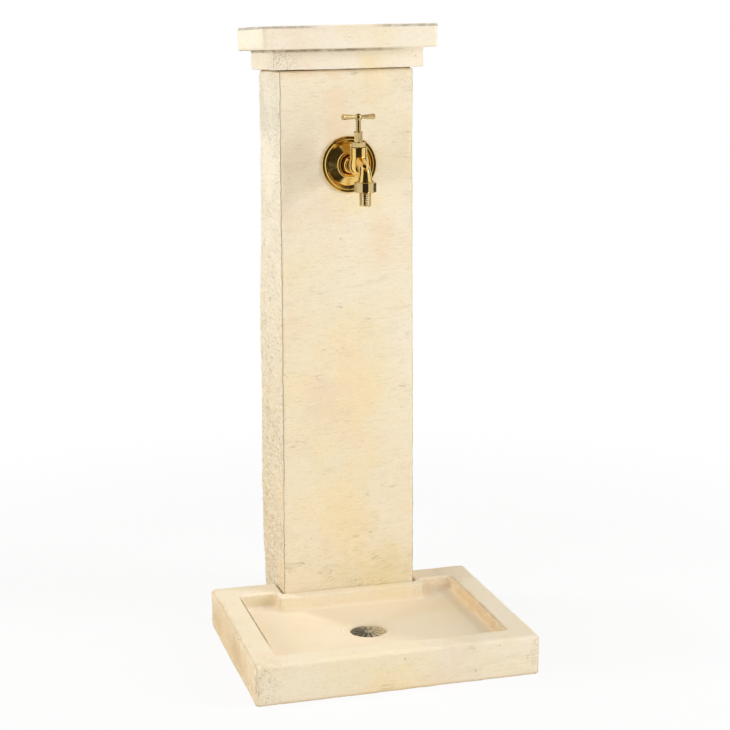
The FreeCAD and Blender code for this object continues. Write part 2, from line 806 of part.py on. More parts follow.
def turn_valve_case(body):
    """The globe and the barrel that the headwork screws into."""
    lip = "barrel_chamfer"
    turn_up(body, "case", [("0", "-globe_radius"), ("globe_radius", "0", "globe_radius", 1),
                           ("globe_radius * 0.96", "barrel_foot - shoulder_height", "globe_radius * 1.5", 1),
                           ("barrel_radius", "barrel_foot + 1"), ("barrel_radius", f"barrel_rise - {lip}"),
                           (f"barrel_radius - {lip}", "barrel_rise"), ("0", "barrel_rise")],
            plane="YZ")


def turn_inlet(body):
    """Shank, collar and neck on the inlet's axis."""
    end = "valve_reach + shank_length"
    back = "valve_reach - rosette_depth"
    front = f"{back} - collar_thickness"
    lip = "collar_chamfer"
    turn_level(body, "inlet", [("0", "0"), (end, "0"), (end, "thread_half"), (back, "thread_half"),
                               (back, "collar_radius"), (f"{front} + {lip}", "collar_radius"),
                               (front, f"collar_radius - {lip}"),
                               (front, "neck_radius - neck_step / 2"), ("globe_radius / 2", "neck_radius"),
                               ("0", "neck_radius")])


def sweep_spout(body, name, radius, rise, kind):
    """A round section carried along the sloping spout and round its bend."""
    slope = f"atan(({rise} + spout_corner_drop) / spout_reach)"
    setback = f"spout_bend * tan((90 deg - {slope}) / 2)"
    bend_y = f"{setback} * cos({slope}) - spout_reach"
    bend_z = f"{setback} * sin({slope}) - spout_corner_drop"
    path = new_sketch(body, f"{name}_path", "YZ")
    outline(path, [("0", rise), (bend_y, bend_z),
                   ("-spout_reach", f"-spout_corner_drop - {setback}", "spout_bend", 1),
                   ("-spout_reach", "spout_end - 0.5")], is_open=True)
    section = new_sketch(body, f"{name}_section", "XZ", rise=rise)
    section.AttachmentOffset = FreeCAD.Placement(Vector(), FreeCAD.Rotation(Vector(1, 0, 0), 1))
    bind(section, "AttachmentOffset.Rotation.Angle", slope)
    feature(body, kind, name, Profile=ring(section, radius), Spine=path)


def turn_outlet(body):
    """Flare, collar and thread on the outlet's axis."""
    flare_z = "spout_end + spout_flare_height"
    collar = "spout_collar_radius"
    thread = "outlet_thread_half"
    turn_up(body, "outlet", [("0", flare_z), ("spout_radius", flare_z), (collar, "spout_end"),
                             (collar, "outlet_thread_top"), (thread, "outlet_thread_top"),
                             (thread, "outlet_end"), ("0", "outlet_end")], plane="YZ", shift="-spout_reach")


def bore_waterways(body):
    """Inlet bore, seat, valve chamber and the way out through the spout."""
    shank_end = "valve_reach + shank_length + 1"
    turn_level(body, "inlet_bore", box_points("0", shank_end, "0", "waterway"), cut=True)
    turn_up(body, "seat_bore", box_points("0", "seat_bore", "0", "seat_rise + 1"), cut=True)
    nose = "bonnet_thread_half + run_gap"
    nose_foot = "nose_z - 0.5"
    turn_up(body, "chamber", [("0", "seat_rise"), ("chamber_radius", "seat_rise"),
                              ("chamber_radius", nose_foot), (nose, nose_foot),
                              (nose, "barrel_rise + 1"), ("0", "barrel_rise + 1")], cut=True)
    sweep_spout(body, "way_out", "way_out_bore", "spout_rise + way_out_lift", "SubtractivePipe")
    turn_up(body, "outlet_bore", box_points("0", "hose_bore", "outlet_end - 1", "spout_end"), cut=True,
            plane="YZ", shift="-spout_reach")


def make_bonnet_washer():
    body = tap_piece("bonnet_washer")
    turn_up(body, "section", box_points("bonnet_thread_half + run_gap", "barrel_radius - barrel_chamfer",
                                        "barrel_rise", "bonnet_seat"))


def make_bonnet():
    """The headwork: threaded nose, hexagon and a neck that holds the packing."""
    body = tap_piece("bonnet")
    prism(body, "hexagon", 6, "bonnet_flats", "bonnet_seat", "bonnet_top", turn="bonnet_hex_turn", ease="1.2")
    turn_up(body, "nose", box_points("0", "bonnet_thread_half", "nose_z", "bonnet_seat + 1"))
    turn_up(body, "neck", box_points("0", "gland_neck_radius", "bonnet_top - 1", "gland_neck_top"))
    thread = "spindle_thread_half + run_gap"
    thread_top = "packing_z - 3"
    rod = "spindle_radius + run_gap"
    cup = "packing_radius + run_gap"
    turn_up(body, "bore", [("0", "nose_z - 1"), (thread, "nose_z - 1"), (thread, thread_top),
                           (rod, thread_top), (rod, "packing_z"), (cup, "packing_z"),
                           (cup, "gland_neck_top + 1"), ("0", "gland_neck_top + 1")], cut=True)


def make_gland_packing():
    body = tap_piece("gland_packing")
    turn_up(body, "section", box_points("spindle_radius + run_gap", "packing_radius", "packing_z",
                                        "gland_neck_top + fit_gap"))


def make_gland_nut():
    """A small hexagon nut with a flared rim that squeezes the packing."""
    body = tap_piece("gland_nut")
    low = "bonnet_top + gland_skirt"
    rim_z = "gland_top - gland_rim_height"
    flare = "gland_flats / 2 + gland_flare"
    prism(body, "hexagon", 6, "gland_flats", low, rim_z, turn="gland_hex_turn")
    rim_foot = f"{rim_z} - 0.6"
    turn_up(body, "rim", [("0", rim_foot), ("gland_flats / 2", rim_foot), (flare, "gland_top - 1"),
                          (f"{flare} - 0.5", "gland_top"), ("0", "gland_top")])
    skirt = "gland_neck_radius + run_gap"
    rod = "spindle_radius + run_gap"
    ceiling = "gland_neck_top + fit_gap"
    turn_up(body, "bore", [("0", f"{low} - 1"), (skirt, f"{low} - 1"), (skirt, ceiling), (rod, ceiling),
                           (rod, "gland_top + 1"), ("0", "gland_top + 1")], cut=True)


def make_spindle():
    """A threaded rod with a socket in its foot for the jumper's stem."""
    body = tap_piece("spindle")
    shoulder = "spindle_z + spindle_thread_length"
    socket = "jumper_stem_radius + run_gap"
    socket_top = "stem_top + jumper_stem_play"
    turn_up(body, "section", [(socket, "spindle_z"), ("spindle_thread_half", "spindle_z"),
                              ("spindle_thread_half", shoulder), ("spindle_radius", shoulder),
                              ("spindle_radius", "spindle_top"), ("0", "spindle_top"), ("0", socket_top),
                              (socket, socket_top)])
    bore_pin_hole(body)


def bore_pin_hole(body):
    """The cross hole that pins the handle to the spindle."""
    sketch = new_sketch(body, "pin_hole", "XZ", offset="handle_stem_radius + 2")
    pocket(body, ring(sketch, "handle_pin_radius + pin_gap", y="pin_z"), "handle_stem_radius * 2 + 4")


def make_t_handle():
    """A tapered crossbar with flared ends on a slim stem with a round hub."""
    body = tap_piece("t_handle")
    hub = "handle_hub_radius"
    turn_up(body, "stem", [("0", "handle_z"), ("handle_stem_radius", "handle_z"),
                           ("handle_stem_radius", f"hub_z - {hub}"), (hub, "hub_z", hub, 1),
                           ("0", f"hub_z + {hub}", hub, 1)])
    half = "handle_bar_length / 2"
    end = "handle_bar_end"
    lip = "handle_tip_chamfer"
    tip = f"{end} - handle_tip_fall"
    crossbar = new_sketch(body, "crossbar", "XZ", rise="hub_z")
    outline(crossbar, [(f"-{half}", "0"), (half, "0"), (half, f"{end} - {lip}"),
                       (f"{half} - {lip}", end),
                       (f"{half} - handle_tip_length", tip), (hub, "handle_bar_waist"),
                       (f"-{hub}", "handle_bar_waist"), (f"handle_tip_length - {half}", tip),
                       (f"{lip} - {half}", end), (f"-{half}", f"{end} - {lip}")])
    turned(body, crossbar, LEVEL_AXIS)
    turn_up(body, "socket", box_points("0", "spindle_radius + handle_socket_gap", "handle_z - 1",
                                       f"hub_z - {hub}"), cut=True)
    bore_pin_hole(body)


def make_handle_pin():
    body = tap_piece("handle_pin")
    sketch = new_sketch(body, "section", "XZ", offset="handle_stem_radius")
    pad(body, ring(sketch, "handle_pin_radius", y="pin_z"), "handle_stem_radius * 2", backwards=True)


def turn_handle_to_rest():
    """The handle, its pin and the spindle share the turn at which the handle is left."""
    for label in ("t_handle", "handle_pin", "spindle"):
        bind(doc.getObject(label), "Placement.Rotation.Angle", "handle_rest_turn * 1 deg")


def make_jumper_valve():
    """Disc and stem that slide in the spindle's socket, with a stud for the washer."""
    body = tap_piece("jumper_valve")
    stud_end = "seat_rise - jumper_nut_height"
    turn_up(body, "section", [("0", stud_end), ("jumper_stud_radius", stud_end),
                              ("jumper_stud_radius", "washer_top"), ("jumper_disc_radius", "washer_top"),
                              ("jumper_disc_radius", "disc_top"), ("jumper_stem_radius", "disc_top"),
                              ("jumper_stem_radius", "stem_top"), ("0", "stem_top")])


def make_jumper_washer():
    body = tap_piece("jumper_washer")
    turn_up(body, "section", box_points("jumper_stud_radius", "jumper_washer_radius",
                                        "seat_rise", "washer_top"))


def make_jumper_nut():
    body = tap_piece("jumper_nut")
    low = "seat_rise - jumper_nut_height"
    prism(body, "hexagon", 6, "2 * (jumper_stud_radius + jumper_nut_wall)", low, "seat_rise")
    turn_up(body, "bore", box_points("0", "jumper_stud_radius", f"{low} - 1", "seat_rise + 1"), cut=True)


# Hose union

def make_hose_washer():
    body = tap_piece("hose_washer", "outlet_reach")
    turn_up(body, "section", box_points("hose_bore", "hose_flange_radius", "hose_flange_top", "outlet_end"))


def make_hose_tail():
    """A flanged tail with saw-tooth barbs for a hose."""
    body = tap_piece("hose_tail", "outlet_reach")
    points = [("hose_bore", "hose_flange_top"), ("hose_bore", "hose_end"),
              ("hose_neck_radius - hose_end_step", "hose_end")]
    crest = "hose_barb_radius"
    for barb in range(HOSE_BARBS):
        for share, radius in ((0.62, crest), (0.78, crest), (1.0, "hose_neck_radius")):
            points.append((radius, f"hose_end + hose_barb_pitch * {barb + share}"))
    points += [("hose_neck_radius", "hose_flange_z"), ("hose_flange_radius", "hose_flange_z"),
               ("hose_flange_radius", "hose_flange_top")]
    turn_up(body, "section", points)


def make_union_nut():
    """A hand nut with twelve flats that draws the tail up to the outlet."""
    body = tap_piece("union_nut", "outlet_reach")
    flats = f"union_radius * {2 * math.cos(math.pi / 12):.9f}"
    prism(body, "grip", 12, flats, "union_z", "union_top", ease="union_nut_ease")
    lip = "hose_barb_radius + union_lip_gap"
    thread = "outlet_thread_half + run_gap"
    turn_up(body, "bore", [("0", "union_z - 1"), (lip, "union_z - 1"), (lip, "hose_flange_z"),
                           (thread, "hose_flange_z"), (thread, "union_top + 1"), ("0", "union_top + 1")],
            cut=True)


# Pipework in the chase

def make_wall_nipple():
    """Joins the tap's shank to the elbow through the column's front wall."""
    body = tap_piece("wall_nipple", "0")
    end = "chase_wall + nipple_thread_length"
    socket = "thread_half + run_gap"
    socket_end = "nipple_gap + shank_length"
    turn_level(body, "section", [("nipple_gap", socket), ("nipple_gap", "nipple_radius"),
                                 ("nipple_head_end", "nipple_radius"), ("nipple_head_end", "thread_half"),
                                 (end, "thread_half"), (end, "nipple_bore"), (socket_end, "nipple_bore"),
                                 (socket_end, socket)])


def make_flanged_elbow():
    """A backplate elbow: flange on the chase's wall, socket for the nipple, leg for the pipe."""
    body = new_body("flanged_elbow", x="tap_shift", y="elbow_y", z="inlet_height")
    half = "flange_height / 2"
    plate = outline(new_sketch(body, "plate", "XZ"),
                    box_points("-flange_width / 2", "flange_width / 2", f"-{half}", half))
    flange = pad(body, plate, "flange_thickness", backwards=True)
    round_edges(body, flange, "flange_corner", lambda edge, middle: runs_along(edge, "y"))
    turn_level(body, "socket", box_points("0", "pipe_standoff", "0", "elbow_radius"))
    leg = "elbow_radius - elbow_leg_step"
    thread = "compression_thread_half"
    turn_up(body, "leg", [("0", "leg_end"), (thread, "leg_end"), (thread, "leg_z"), (leg, "leg_z"),
                          (leg, "0"), ("elbow_radius", "0"), ("0", "elbow_radius", "elbow_radius", 1)],
            plane="YZ", shift="pipe_standoff")
    bore_elbow(body)
    holes = new_sketch(body, "screw_holes", "XZ", offset="1")
    for x, _height in ELBOW_FIXINGS:
        ring(holes, "screw_radius + screw_hole_gap", x=x)
    pocket(body, holes, "flange_thickness + 2")


def bore_elbow(body):
    """Two bores that meet at the elbow's middle."""
    socket = "thread_half + run_gap"
    socket_end = "nipple_thread_length + 1"
    middle = "pipe_standoff"
    turn_level(body, "socket_bore", [("-1", "0"), (middle, "0"), (middle, "pipe_bore"),
                                     (socket_end, "pipe_bore"), (socket_end, socket), ("-1", socket)], cut=True)
    wide = "pipe_radius + run_gap"
    turn_up(body, "leg_bore", [("0", "leg_end - 1"), (wide, "leg_end - 1"), (wide, "pipe_top"),
                               ("pipe_bore", "pipe_top"), ("pipe_bore", "0"), ("0", "0")],
            cut=True, plane="YZ", shift="pipe_standoff")


def pipe_piece(label, z="0"):
    """A body on the riser pipe's axis."""
    return new_body(label, x="tap_shift", y="pipe_y", z=z)


def make_compression_nut(label, level, sign):
    """The nut of a compression joint; its floor closes on the olive. Sign says which way it points."""
    body = pipe_piece(label, level)
    floor = "compression_thread_length + olive_height + 2 * fit_gap"
    near_end = f"{sign}compression_nut_gap"
    far_end = f"{sign}({floor} + nut_floor)"
    low, high = (near_end, far_end) if sign == "" else (far_end, near_end)
    prism(body, "hexagon", 6, "compression_flats", low, high, turn="30", ease="compression_nut_ease")
    wide = "compression_thread_half + run_gap"
    tight = "pipe_radius + fit_gap"
    beyond = f"{sign}({floor} + nut_floor + 1)"
    turn_up(body, "bore", [("0", f"{sign}1"), (wide, f"{sign}1"), (wide, f"{sign}({floor})"),
                           (tight, f"{sign}({floor})"), (tight, beyond), ("0", beyond)], cut=True)


def make_olive(label, level):
    """The soft ring that a compression nut squeezes on the pipe."""
    body = pipe_piece(label, level)
    inner = "pipe_radius + run_gap"
    edge = f"{inner} + olive_edge"
    outer = "pipe_radius + olive_wall"
    turn_up(body, "section", [(inner, "0"), (edge, "0"), (outer, "olive_height * 0.3"),
                              (outer, "olive_height * 0.7"), (edge, "olive_height"), (inner, "olive_height")])


def make_riser_pipe():
    body = pipe_piece("riser_pipe")
    turn_up(body, "section", box_points("pipe_bore", "pipe_radius", "pipe_foot",
                                        "inlet_height + pipe_top - fit_gap"))


def make_foot_coupler():
    """Joins the riser pipe to the supply at the column's foot."""
    body = pipe_piece("foot_coupler")
    prism(body, "hexagon", 6, "compression_flats + 2 * coupler_hex_step", "coupler_hex_z", "coupler_neck_z",
          turn="30", ease="compression_nut_ease")
    turn_up(body, "supply_thread", box_points("0", "thread_half", "coupler_height", "coupler_hex_z + 1"))
    turn_up(body, "pipe_thread", box_points("0", "compression_thread_half", "coupler_neck_z - 1",
                                            "coupler_top"))
    wide = "pipe_radius + run_gap"
    stop = "pipe_foot - fit_gap"
    foot = "coupler_height - 1"
    turn_up(body, "bore", [("0", foot), ("pipe_bore", foot), ("pipe_bore", stop), (wide, stop),
                           (wide, "coupler_top + 1"), ("0", "coupler_top + 1")], cut=True)


def make_pipe_clip(label, height):
    """An open ring on an eared base, held by one screw beside the pipe."""
    body = pipe_piece(label, height)
    wall = "-pipe_standoff"
    base_y = f"{wall} + clip_base_thickness"
    ear = "clip_ear + screw_head_radius + clip_edge"
    outer = "pipe_radius + clip_wall"
    foot = "-clip_height / 2"
    pad(body, outline(new_sketch(body, "base", "XY", offset=foot),
                      box_points("-pipe_radius", ear, wall, base_y)), "clip_height")
    pad(body, outline(new_sketch(body, "neck", "XY", offset=foot),
                      box_points("-clip_neck_half", "clip_neck_half", f"{base_y} - 1", "-pipe_radius - 1")),
        "clip_height")
    pad(body, ring(new_sketch(body, "hoop", "XY", offset=foot), outer), "clip_height")
    below = f"{foot} - 1"
    bore = ring(new_sketch(body, "hoop_bore", "XY", offset=below), "pipe_radius + fit_gap")
    pocket(body, bore, "clip_height + 2", backwards=True)
    mouth = outline(new_sketch(body, "mouth", "XY", offset=below),
                    box_points("-clip_mouth_half", "clip_mouth_half", "pipe_radius / 2", f"{outer} + 1"))
    pocket(body, mouth, "clip_height + 2", backwards=True)
    hole = ring(new_sketch(body, "screw_hole", "XZ", offset="pipe_standoff + 1"),
                "screw_radius + screw_hole_gap", x="clip_ear")
    pocket(body, hole, "clip_base_thickness + 2")


# Fixings: each kind is turned once and set at its places as one group

def make_fixings(label, solid, places):
    """Copies of one solid along -Y, each at its own place on the chase's inner wall."""
    copies = []
    for x, height in places:
        copy = solid.copy()
        copy.translate(Vector(number(f"tap_shift + {x}"), number("elbow_y"), number(height)))
        copies.append(copy)
    group = doc.addObject("Part::Feature", label)
    group.Label = label
    group.Shape = Part.makeCompound(copies)


def turned_screw(held):
    """A pan-head screw whose head rests on a piece of the given thickness."""
    radius = number("screw_radius")
    head = number("screw_head_radius")
    rise = number("screw_head_height")
    length = number("screw_length") - held
    shank_end = number("screw_point") - length
    profile = [Vector(0, held + rise, 0), Vector(head * 0.6, held + rise, 0),
               Vector(head, held + rise * 0.45, 0), Vector(head, held, 0), Vector(radius, held, 0),
               Vector(radius, shank_end, 0), Vector(0, -length, 0)]
    face = Part.Face(Part.makePolygon(profile + profile[:1]))
    return face.revolve(Vector(), Vector(0, 1, 0), 360)


def turned_plug():
    """A wall plug, flush with the chase's inner wall."""
    length = number("plug_length")
    sleeve = Part.makeCylinder(number("plug_radius"), length, Vector(), Vector(0, -1, 0))
    bore = Part.makeCylinder(number("screw_radius + run_gap"), length + 2, Vector(0, 1, 0), Vector(0, -1, 0))
    return sleeve.cut(bore)


def build():
    make_basin()
    make_column()
    make_capital_bed()
    make_capital()
    make_waste_socket()
    make_strainer()
    make_rosette()
    make_tap_body()
    make_bonnet_washer()
    make_bonnet()
    make_gland_packing()
    make_gland_nut()
    make_spindle()
    make_t_handle()
    make_handle_pin()
    turn_handle_to_rest()
    make_jumper_valve()
    make_jumper_washer()
    make_jumper_nut()
    make_hose_washer()
    make_hose_tail()
    make_union_nut()
    make_wall_nipple()
    make_flanged_elbow()
    make_compression_nut("elbow_nut", "inlet_height + leg_z", sign="-")
    make_olive("elbow_olive", "inlet_height + leg_end - olive_height - fit_gap")
    make_riser_pipe()
    make_olive("foot_olive", "coupler_top + fit_gap")
    make_compression_nut("foot_nut", "coupler_neck_z", sign="")
    make_foot_coupler()
    make_pipe_clip("lower_pipe_clip", "lower_clip_height")
    make_pipe_clip("upper_pipe_clip", "upper_clip_height")
    make_fixings("elbow_screws", turned_screw(number("flange_thickness")), ELBOW_FIXINGS)
    make_fixings("clip_screws", turned_screw(number("clip_base_thickness")), CLIP_FIXINGS)
    make_fixings("wall_plugs", turned_plug(), ELBOW_FIXINGS + CLIP_FIXINGS)


def check_and_write():
    doc.recompute()
    failed = [o.Name for o in doc.Objects if {"Invalid", "Error"} & set(o.State)]
    if failed:
        raise RuntimeError(f"failed features: {failed}")
    pieces = [o for o in doc.Objects if o.TypeId in ("PartDesign::Body", "Part::Feature")]
    for piece in pieces:
        if piece.Shape.isNull() or not piece.Shape.isValid() or not piece.Shape.Solids:
            raise RuntimeError(f"bad shape: {piece.Label}")
    os.makedirs("parts", exist_ok=True)
    for piece in pieces:
        piece.Shape.exportStep(f"parts/{piece.Label}.step")
        box = piece.Shape.BoundBox
        print(f"{piece.Label:16s} solids {len(piece.Shape.Solids)} volume {piece.Shape.Volume / 1000:9.2f} cm3"
              f"  x {box.XMin:.1f} {box.XMax:.1f}  y {box.YMin:.1f} {box.YMax:.1f}"
              f"  z {box.ZMin:.1f} {box.ZMax:.1f}")


build()
check_and_write()
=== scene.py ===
import math

import bmesh
import bpy
from mathutils import Matrix, Vector, noise


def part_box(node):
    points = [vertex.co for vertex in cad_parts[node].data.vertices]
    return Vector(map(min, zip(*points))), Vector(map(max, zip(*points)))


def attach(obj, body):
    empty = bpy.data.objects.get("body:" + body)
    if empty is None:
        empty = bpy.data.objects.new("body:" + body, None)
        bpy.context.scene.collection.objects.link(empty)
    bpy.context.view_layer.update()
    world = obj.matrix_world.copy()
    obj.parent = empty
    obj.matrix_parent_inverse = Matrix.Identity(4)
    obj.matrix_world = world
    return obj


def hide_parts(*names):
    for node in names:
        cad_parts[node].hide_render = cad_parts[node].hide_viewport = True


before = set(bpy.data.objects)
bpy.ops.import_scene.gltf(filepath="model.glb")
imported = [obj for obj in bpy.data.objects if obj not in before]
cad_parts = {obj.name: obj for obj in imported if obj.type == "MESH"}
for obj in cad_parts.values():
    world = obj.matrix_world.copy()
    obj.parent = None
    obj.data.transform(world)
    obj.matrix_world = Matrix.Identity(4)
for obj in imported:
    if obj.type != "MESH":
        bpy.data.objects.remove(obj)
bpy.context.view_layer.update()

# The column fountain in the CAD model's frame, in metres: +Z up, the front looks along -Y

strainer_low, strainer_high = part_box("strainer")
basin_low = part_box("basin")[0]

SCENE = bpy.context.scene
DRAIN_PLACE = ((strainer_low[0] + strainer_high[0]) / 2, (strainer_low[1] + strainer_high[1]) / 2)
WHITE = (1.0, 1.0, 1.0, 1.0)
BLACK = (0.0, 0.0, 0.0, 1.0)


# Camera

CAMERA_PLACE = (-0.6705, -2.3654, 0.9579)
CAMERA_YAW = math.radians(16.06)
CAMERA_PITCH = math.radians(11.39)
CAMERA_ROLL = math.radians(-0.18)
FOCAL_PIXELS = 1553.4
PHOTO_PIXELS = 730
SENSOR_WIDTH = 36.0


def place_camera():
    camera = bpy.data.objects.new("photo_camera", bpy.data.cameras.new("photo_camera"))
    SCENE.collection.objects.link(camera)
    camera.data.sensor_width = SENSOR_WIDTH
    camera.data.lens = FOCAL_PIXELS / PHOTO_PIXELS * SENSOR_WIDTH
    forward = Vector((math.sin(CAMERA_YAW) * math.cos(CAMERA_PITCH),
                      math.cos(CAMERA_YAW) * math.cos(CAMERA_PITCH), -math.sin(CAMERA_PITCH)))
    turn = forward.to_track_quat("-Z", "Y").to_matrix() @ Matrix.Rotation(CAMERA_ROLL, 3, "Z")
    camera.matrix_world = Matrix.Translation(CAMERA_PLACE) @ turn.to_4x4()
    SCENE.camera = camera


# Nodes of the materials

def feed(tree, node, inputs):
    """Links each input that is given as a socket and sets the others."""
    for key, value in inputs.items():
        if isinstance(value, bpy.types.NodeSocket):
            tree.links.new(value, node.inputs[key])
        else:
            node.inputs[key].default_value = value


def add_node(tree, kind, inputs=None, **settings):
    made = tree.nodes.new(f"ShaderNode{kind}")
    for key, value in settings.items():
        setattr(made, key, value)
    feed(tree, made, inputs or {})
    return made


def linear(red, green, blue):
    """A colour written as it looks on screen, 0 to 255, for a shader."""
    def channel(value):
        value /= 255
        return value / 12.92 if value <= 0.04045 else ((value + 0.055) / 1.055) ** 2.4
    return (channel(red), channel(green), channel(blue), 1.0)


def darkened(colour, share):
    return tuple(channel * (1 - share) for channel in colour[:3]) + (1.0,)


def math_node(tree, operation, first, second=0.0, clamp=False):
    return add_node(tree, "Math", {0: first, 1: second}, operation=operation, use_clamp=clamp).outputs[0]


def product(tree, *values):
    result = values[0]
    for value in values[1:]:
        result = math_node(tree, "MULTIPLY", result, value)
    return result


def distance_off(tree, value, middle):
    """How far a value lies from a middle value, on either side."""
    return math_node(tree, "ABSOLUTE", math_node(tree, "SUBTRACT", value, middle))


def grade(tree, value, low, high, out_low=0.0, out_high=1.0):
    """Spreads a value between two limits, smoothly and without going past them."""
    made = add_node(tree, "MapRange", {"Value": value, "From Min": low, "From Max": high,
                                       "To Min": out_low, "To Max": out_high},
                    interpolation_type="SMOOTHSTEP")
    return made.outputs["Result"]


def beyond(tree, value, start, end):
    """0 before start, 1 after end, whichever way they lie."""
    if start < end:
        return grade(tree, value, start, end)
    return grade(tree, value, end, start, 1.0, 0.0)


def blend_colour(tree, factor, first, second):
    return add_node(tree, "Mix", {0: factor, 6: first, 7: second}, data_type="RGBA").outputs[2]


def paint(tree, colour, coats):
    """Lays shades over a colour, one after the other, each where its own mask is."""
    for mask, shade in coats:
        colour = blend_colour(tree, mask, colour, shade)
    return colour


def place_of(tree, stretch=(1.0, 1.0, 1.0), move=(0.0, 0.0, 0.0), slope=0.0):
    """The piece's own coordinates, stretched and then moved; slope makes level lines rise to the right."""
    place = add_node(tree, "TexCoord").outputs["Object"]
    if slope:
        place = add_node(tree, "Mapping", {"Vector": place, "Rotation": (0.0, slope, 0.0)}).outputs[0]
    return add_node(tree, "Mapping", {"Vector": place, "Scale": stretch, "Location": move}).outputs[0]


def axes_of(tree):
    """The piece's own coordinates as three numbers."""
    return add_node(tree, "SeparateXYZ", {0: place_of(tree)}).outputs


def facing(tree):
    """The way the surface faces, as three numbers."""
    normal = add_node(tree, "TexCoord").outputs["Normal"]
    return add_node(tree, "SeparateXYZ", {0: normal}).outputs


def length(tree, vector):
    return add_node(tree, "VectorMath", {0: vector}, operation="LENGTH").outputs["Value"]


def distance_from(tree, centre):
    """How far a point lies, on the level, from a centre given as x and y."""
    return length(tree, place_of(tree, stretch=(1.0, 1.0, 0.0), move=(-centre[0], -centre[1], 0.0)))


def cloud(tree, grain, detail=3.0, roughness=0.55, twist=0.0, **place):
    """Soft noise from 0 to 1, finer with a higher grain; the settings after twist are those of place_of."""
    inputs = {"Vector": place_of(tree, **place), "Scale": grain, "Detail": detail,
              "Roughness": roughness, "Distortion": twist}
    return add_node(tree, "TexNoise", inputs).outputs["Fac"]


def bump(tree, height, distance, strength):
    inputs = {"Height": height, "Distance": distance, "Strength": strength}
    return add_node(tree, "Bump", inputs).outputs["Normal"]


def new_material(name):
    material = bpy.data.materials.new(name)
    material.use_nodes = True
    tree = material.node_tree
    return material, tree, tree.nodes["Principled BSDF"]


# Shades of the cast stone and its stains

STONE_CREAM = linear(243, 229, 199)
STONE_PALE = linear(248, 237, 218)
STONE_YELLOW = linear(246, 226, 181)
STONE_ORANGE = linear(245, 217, 180)
STONE_PINK = linear(238, 213, 188)
STONE_GREY = linear(226, 216, 190)
STONE_STREAK = linear(216, 198, 160)
STONE_CLEFT = linear(190, 170, 132)
STONE_PIT = linear(163, 147, 118)
STONE_FLAKE = linear(251, 239, 212)
# The sides' own tone, with painted shade low down and painted light high up
STONE_SIDE_PAINTED_SHADE = linear(233, 205, 162)
STONE_SIDE_PAINTED_LIGHT = linear(254, 244, 222)
STONE_FLOOR = linear(243, 226, 197)
STAIN_GREEN = linear(214, 200, 132)
STAIN_BROWN = linear(214, 177, 122)
STAIN_GREY = linear(186, 178, 160)

# Clouds of colour: the noise's move, grain and detail, the range over which it fades in, its most, its shade
STONE_CLOUDS = (
    ((3.1, 1.7, 0.4), 7.0, 4.0, (0.48, 0.72), 0.75, STONE_YELLOW),
    ((7.3, 2.2, 5.1), 9.0, 4.0, (0.54, 0.74), 0.55, STONE_ORANGE),
    ((1.9, 8.2, 2.6), 6.0, 5.0, (0.52, 0.75), 0.60, STONE_PINK),
    ((5.2, 4.4, 9.3), 12.0, 6.0, (0.56, 0.78), 0.50, STONE_GREY),
)

# Heights over which painted light makes the stone paler towards the top, and over which its sides go from
# painted shade low down to painted light high up
TOP_PAINTED_LIGHT_HEIGHTS = (0.55, 0.95)
SIDE_PAINTED_SHADE_HEIGHTS = (0.1, 0.9)

# Noise of the streaks, thin layers, hacked sides, sand, clefts and cracks
BROAD_STRETCH = (6.0, 6.0, 34.0)
LAYER_STRETCH = (60.0, 60.0, 360.0)
HACKED_STRETCH = (1.0, 0.4, 1.1)
HACKED_GRAIN = 180.0
SAND_GRAIN = 360.0
CLEFT_STRETCH = (9.0, 9.0, 46.0)
CRACK_STRETCH = (12.0, 12.0, 60.0)
CRACK_SLOPE = 0.42
RELIEF_DEPTH = 0.0011

# Pits: one cell in many holds one, and a cell's own number says which, above a limit that varies
PIT_GRAIN = 130.0
PIT_RADII = (0.08, 0.26)
PIT_LIMITS = (0.985, 0.80)
PIT_SHAKE = (0.004, 0.004, 0.004)
PIT_SHAKE_GRAIN = 240.0

# The tilt of the top, as a rise to the right for each metre, and the heights over which it sets in
TOP_TILT = 0.019
TILT_HEIGHTS = (0.80, 0.93)
TILT_MIDDLE = -0.02

# Marks: centre, reach, strength, shade, the outline's raggedness and grain, and the grain of flecks or 0
COLUMN_FOOT = ((0.050, 0.070, 0.085), (0.125, 0.030, 0.050))
COLUMN_MARKS = (
    ((-0.020, 0.070, 0.860), (0.034, 0.030, 0.100), 0.45, STONE_ORANGE, 0.6, 24.0, 0.0),
    ((0.105, 0.070, 0.905), (0.040, 0.020, 0.020), 0.35, STONE_CLEFT, 0.5, 70.0, 420.0),
    ((0.126, 0.070, 0.775), (0.010, 0.015, 0.060), 0.30, STONE_ORANGE, 0.5, 70.0, 0.0),
)
CAPITAL_MARKS = (
    ((0.036, 0.057, 0.943), (0.028, 0.020, 0.018), 0.60, STONE_YELLOW, 0.5, 70.0, 0.0),
    ((-0.120, 0.060, 0.945), (0.060, 0.060, 0.024), 0.50, STONE_PIT, 0.5, 70.0, 420.0),
)
BASIN_LEFT_SIDE = ((basin_low[0], -0.010, 0.026), (0.016, 0.300, 0.056))
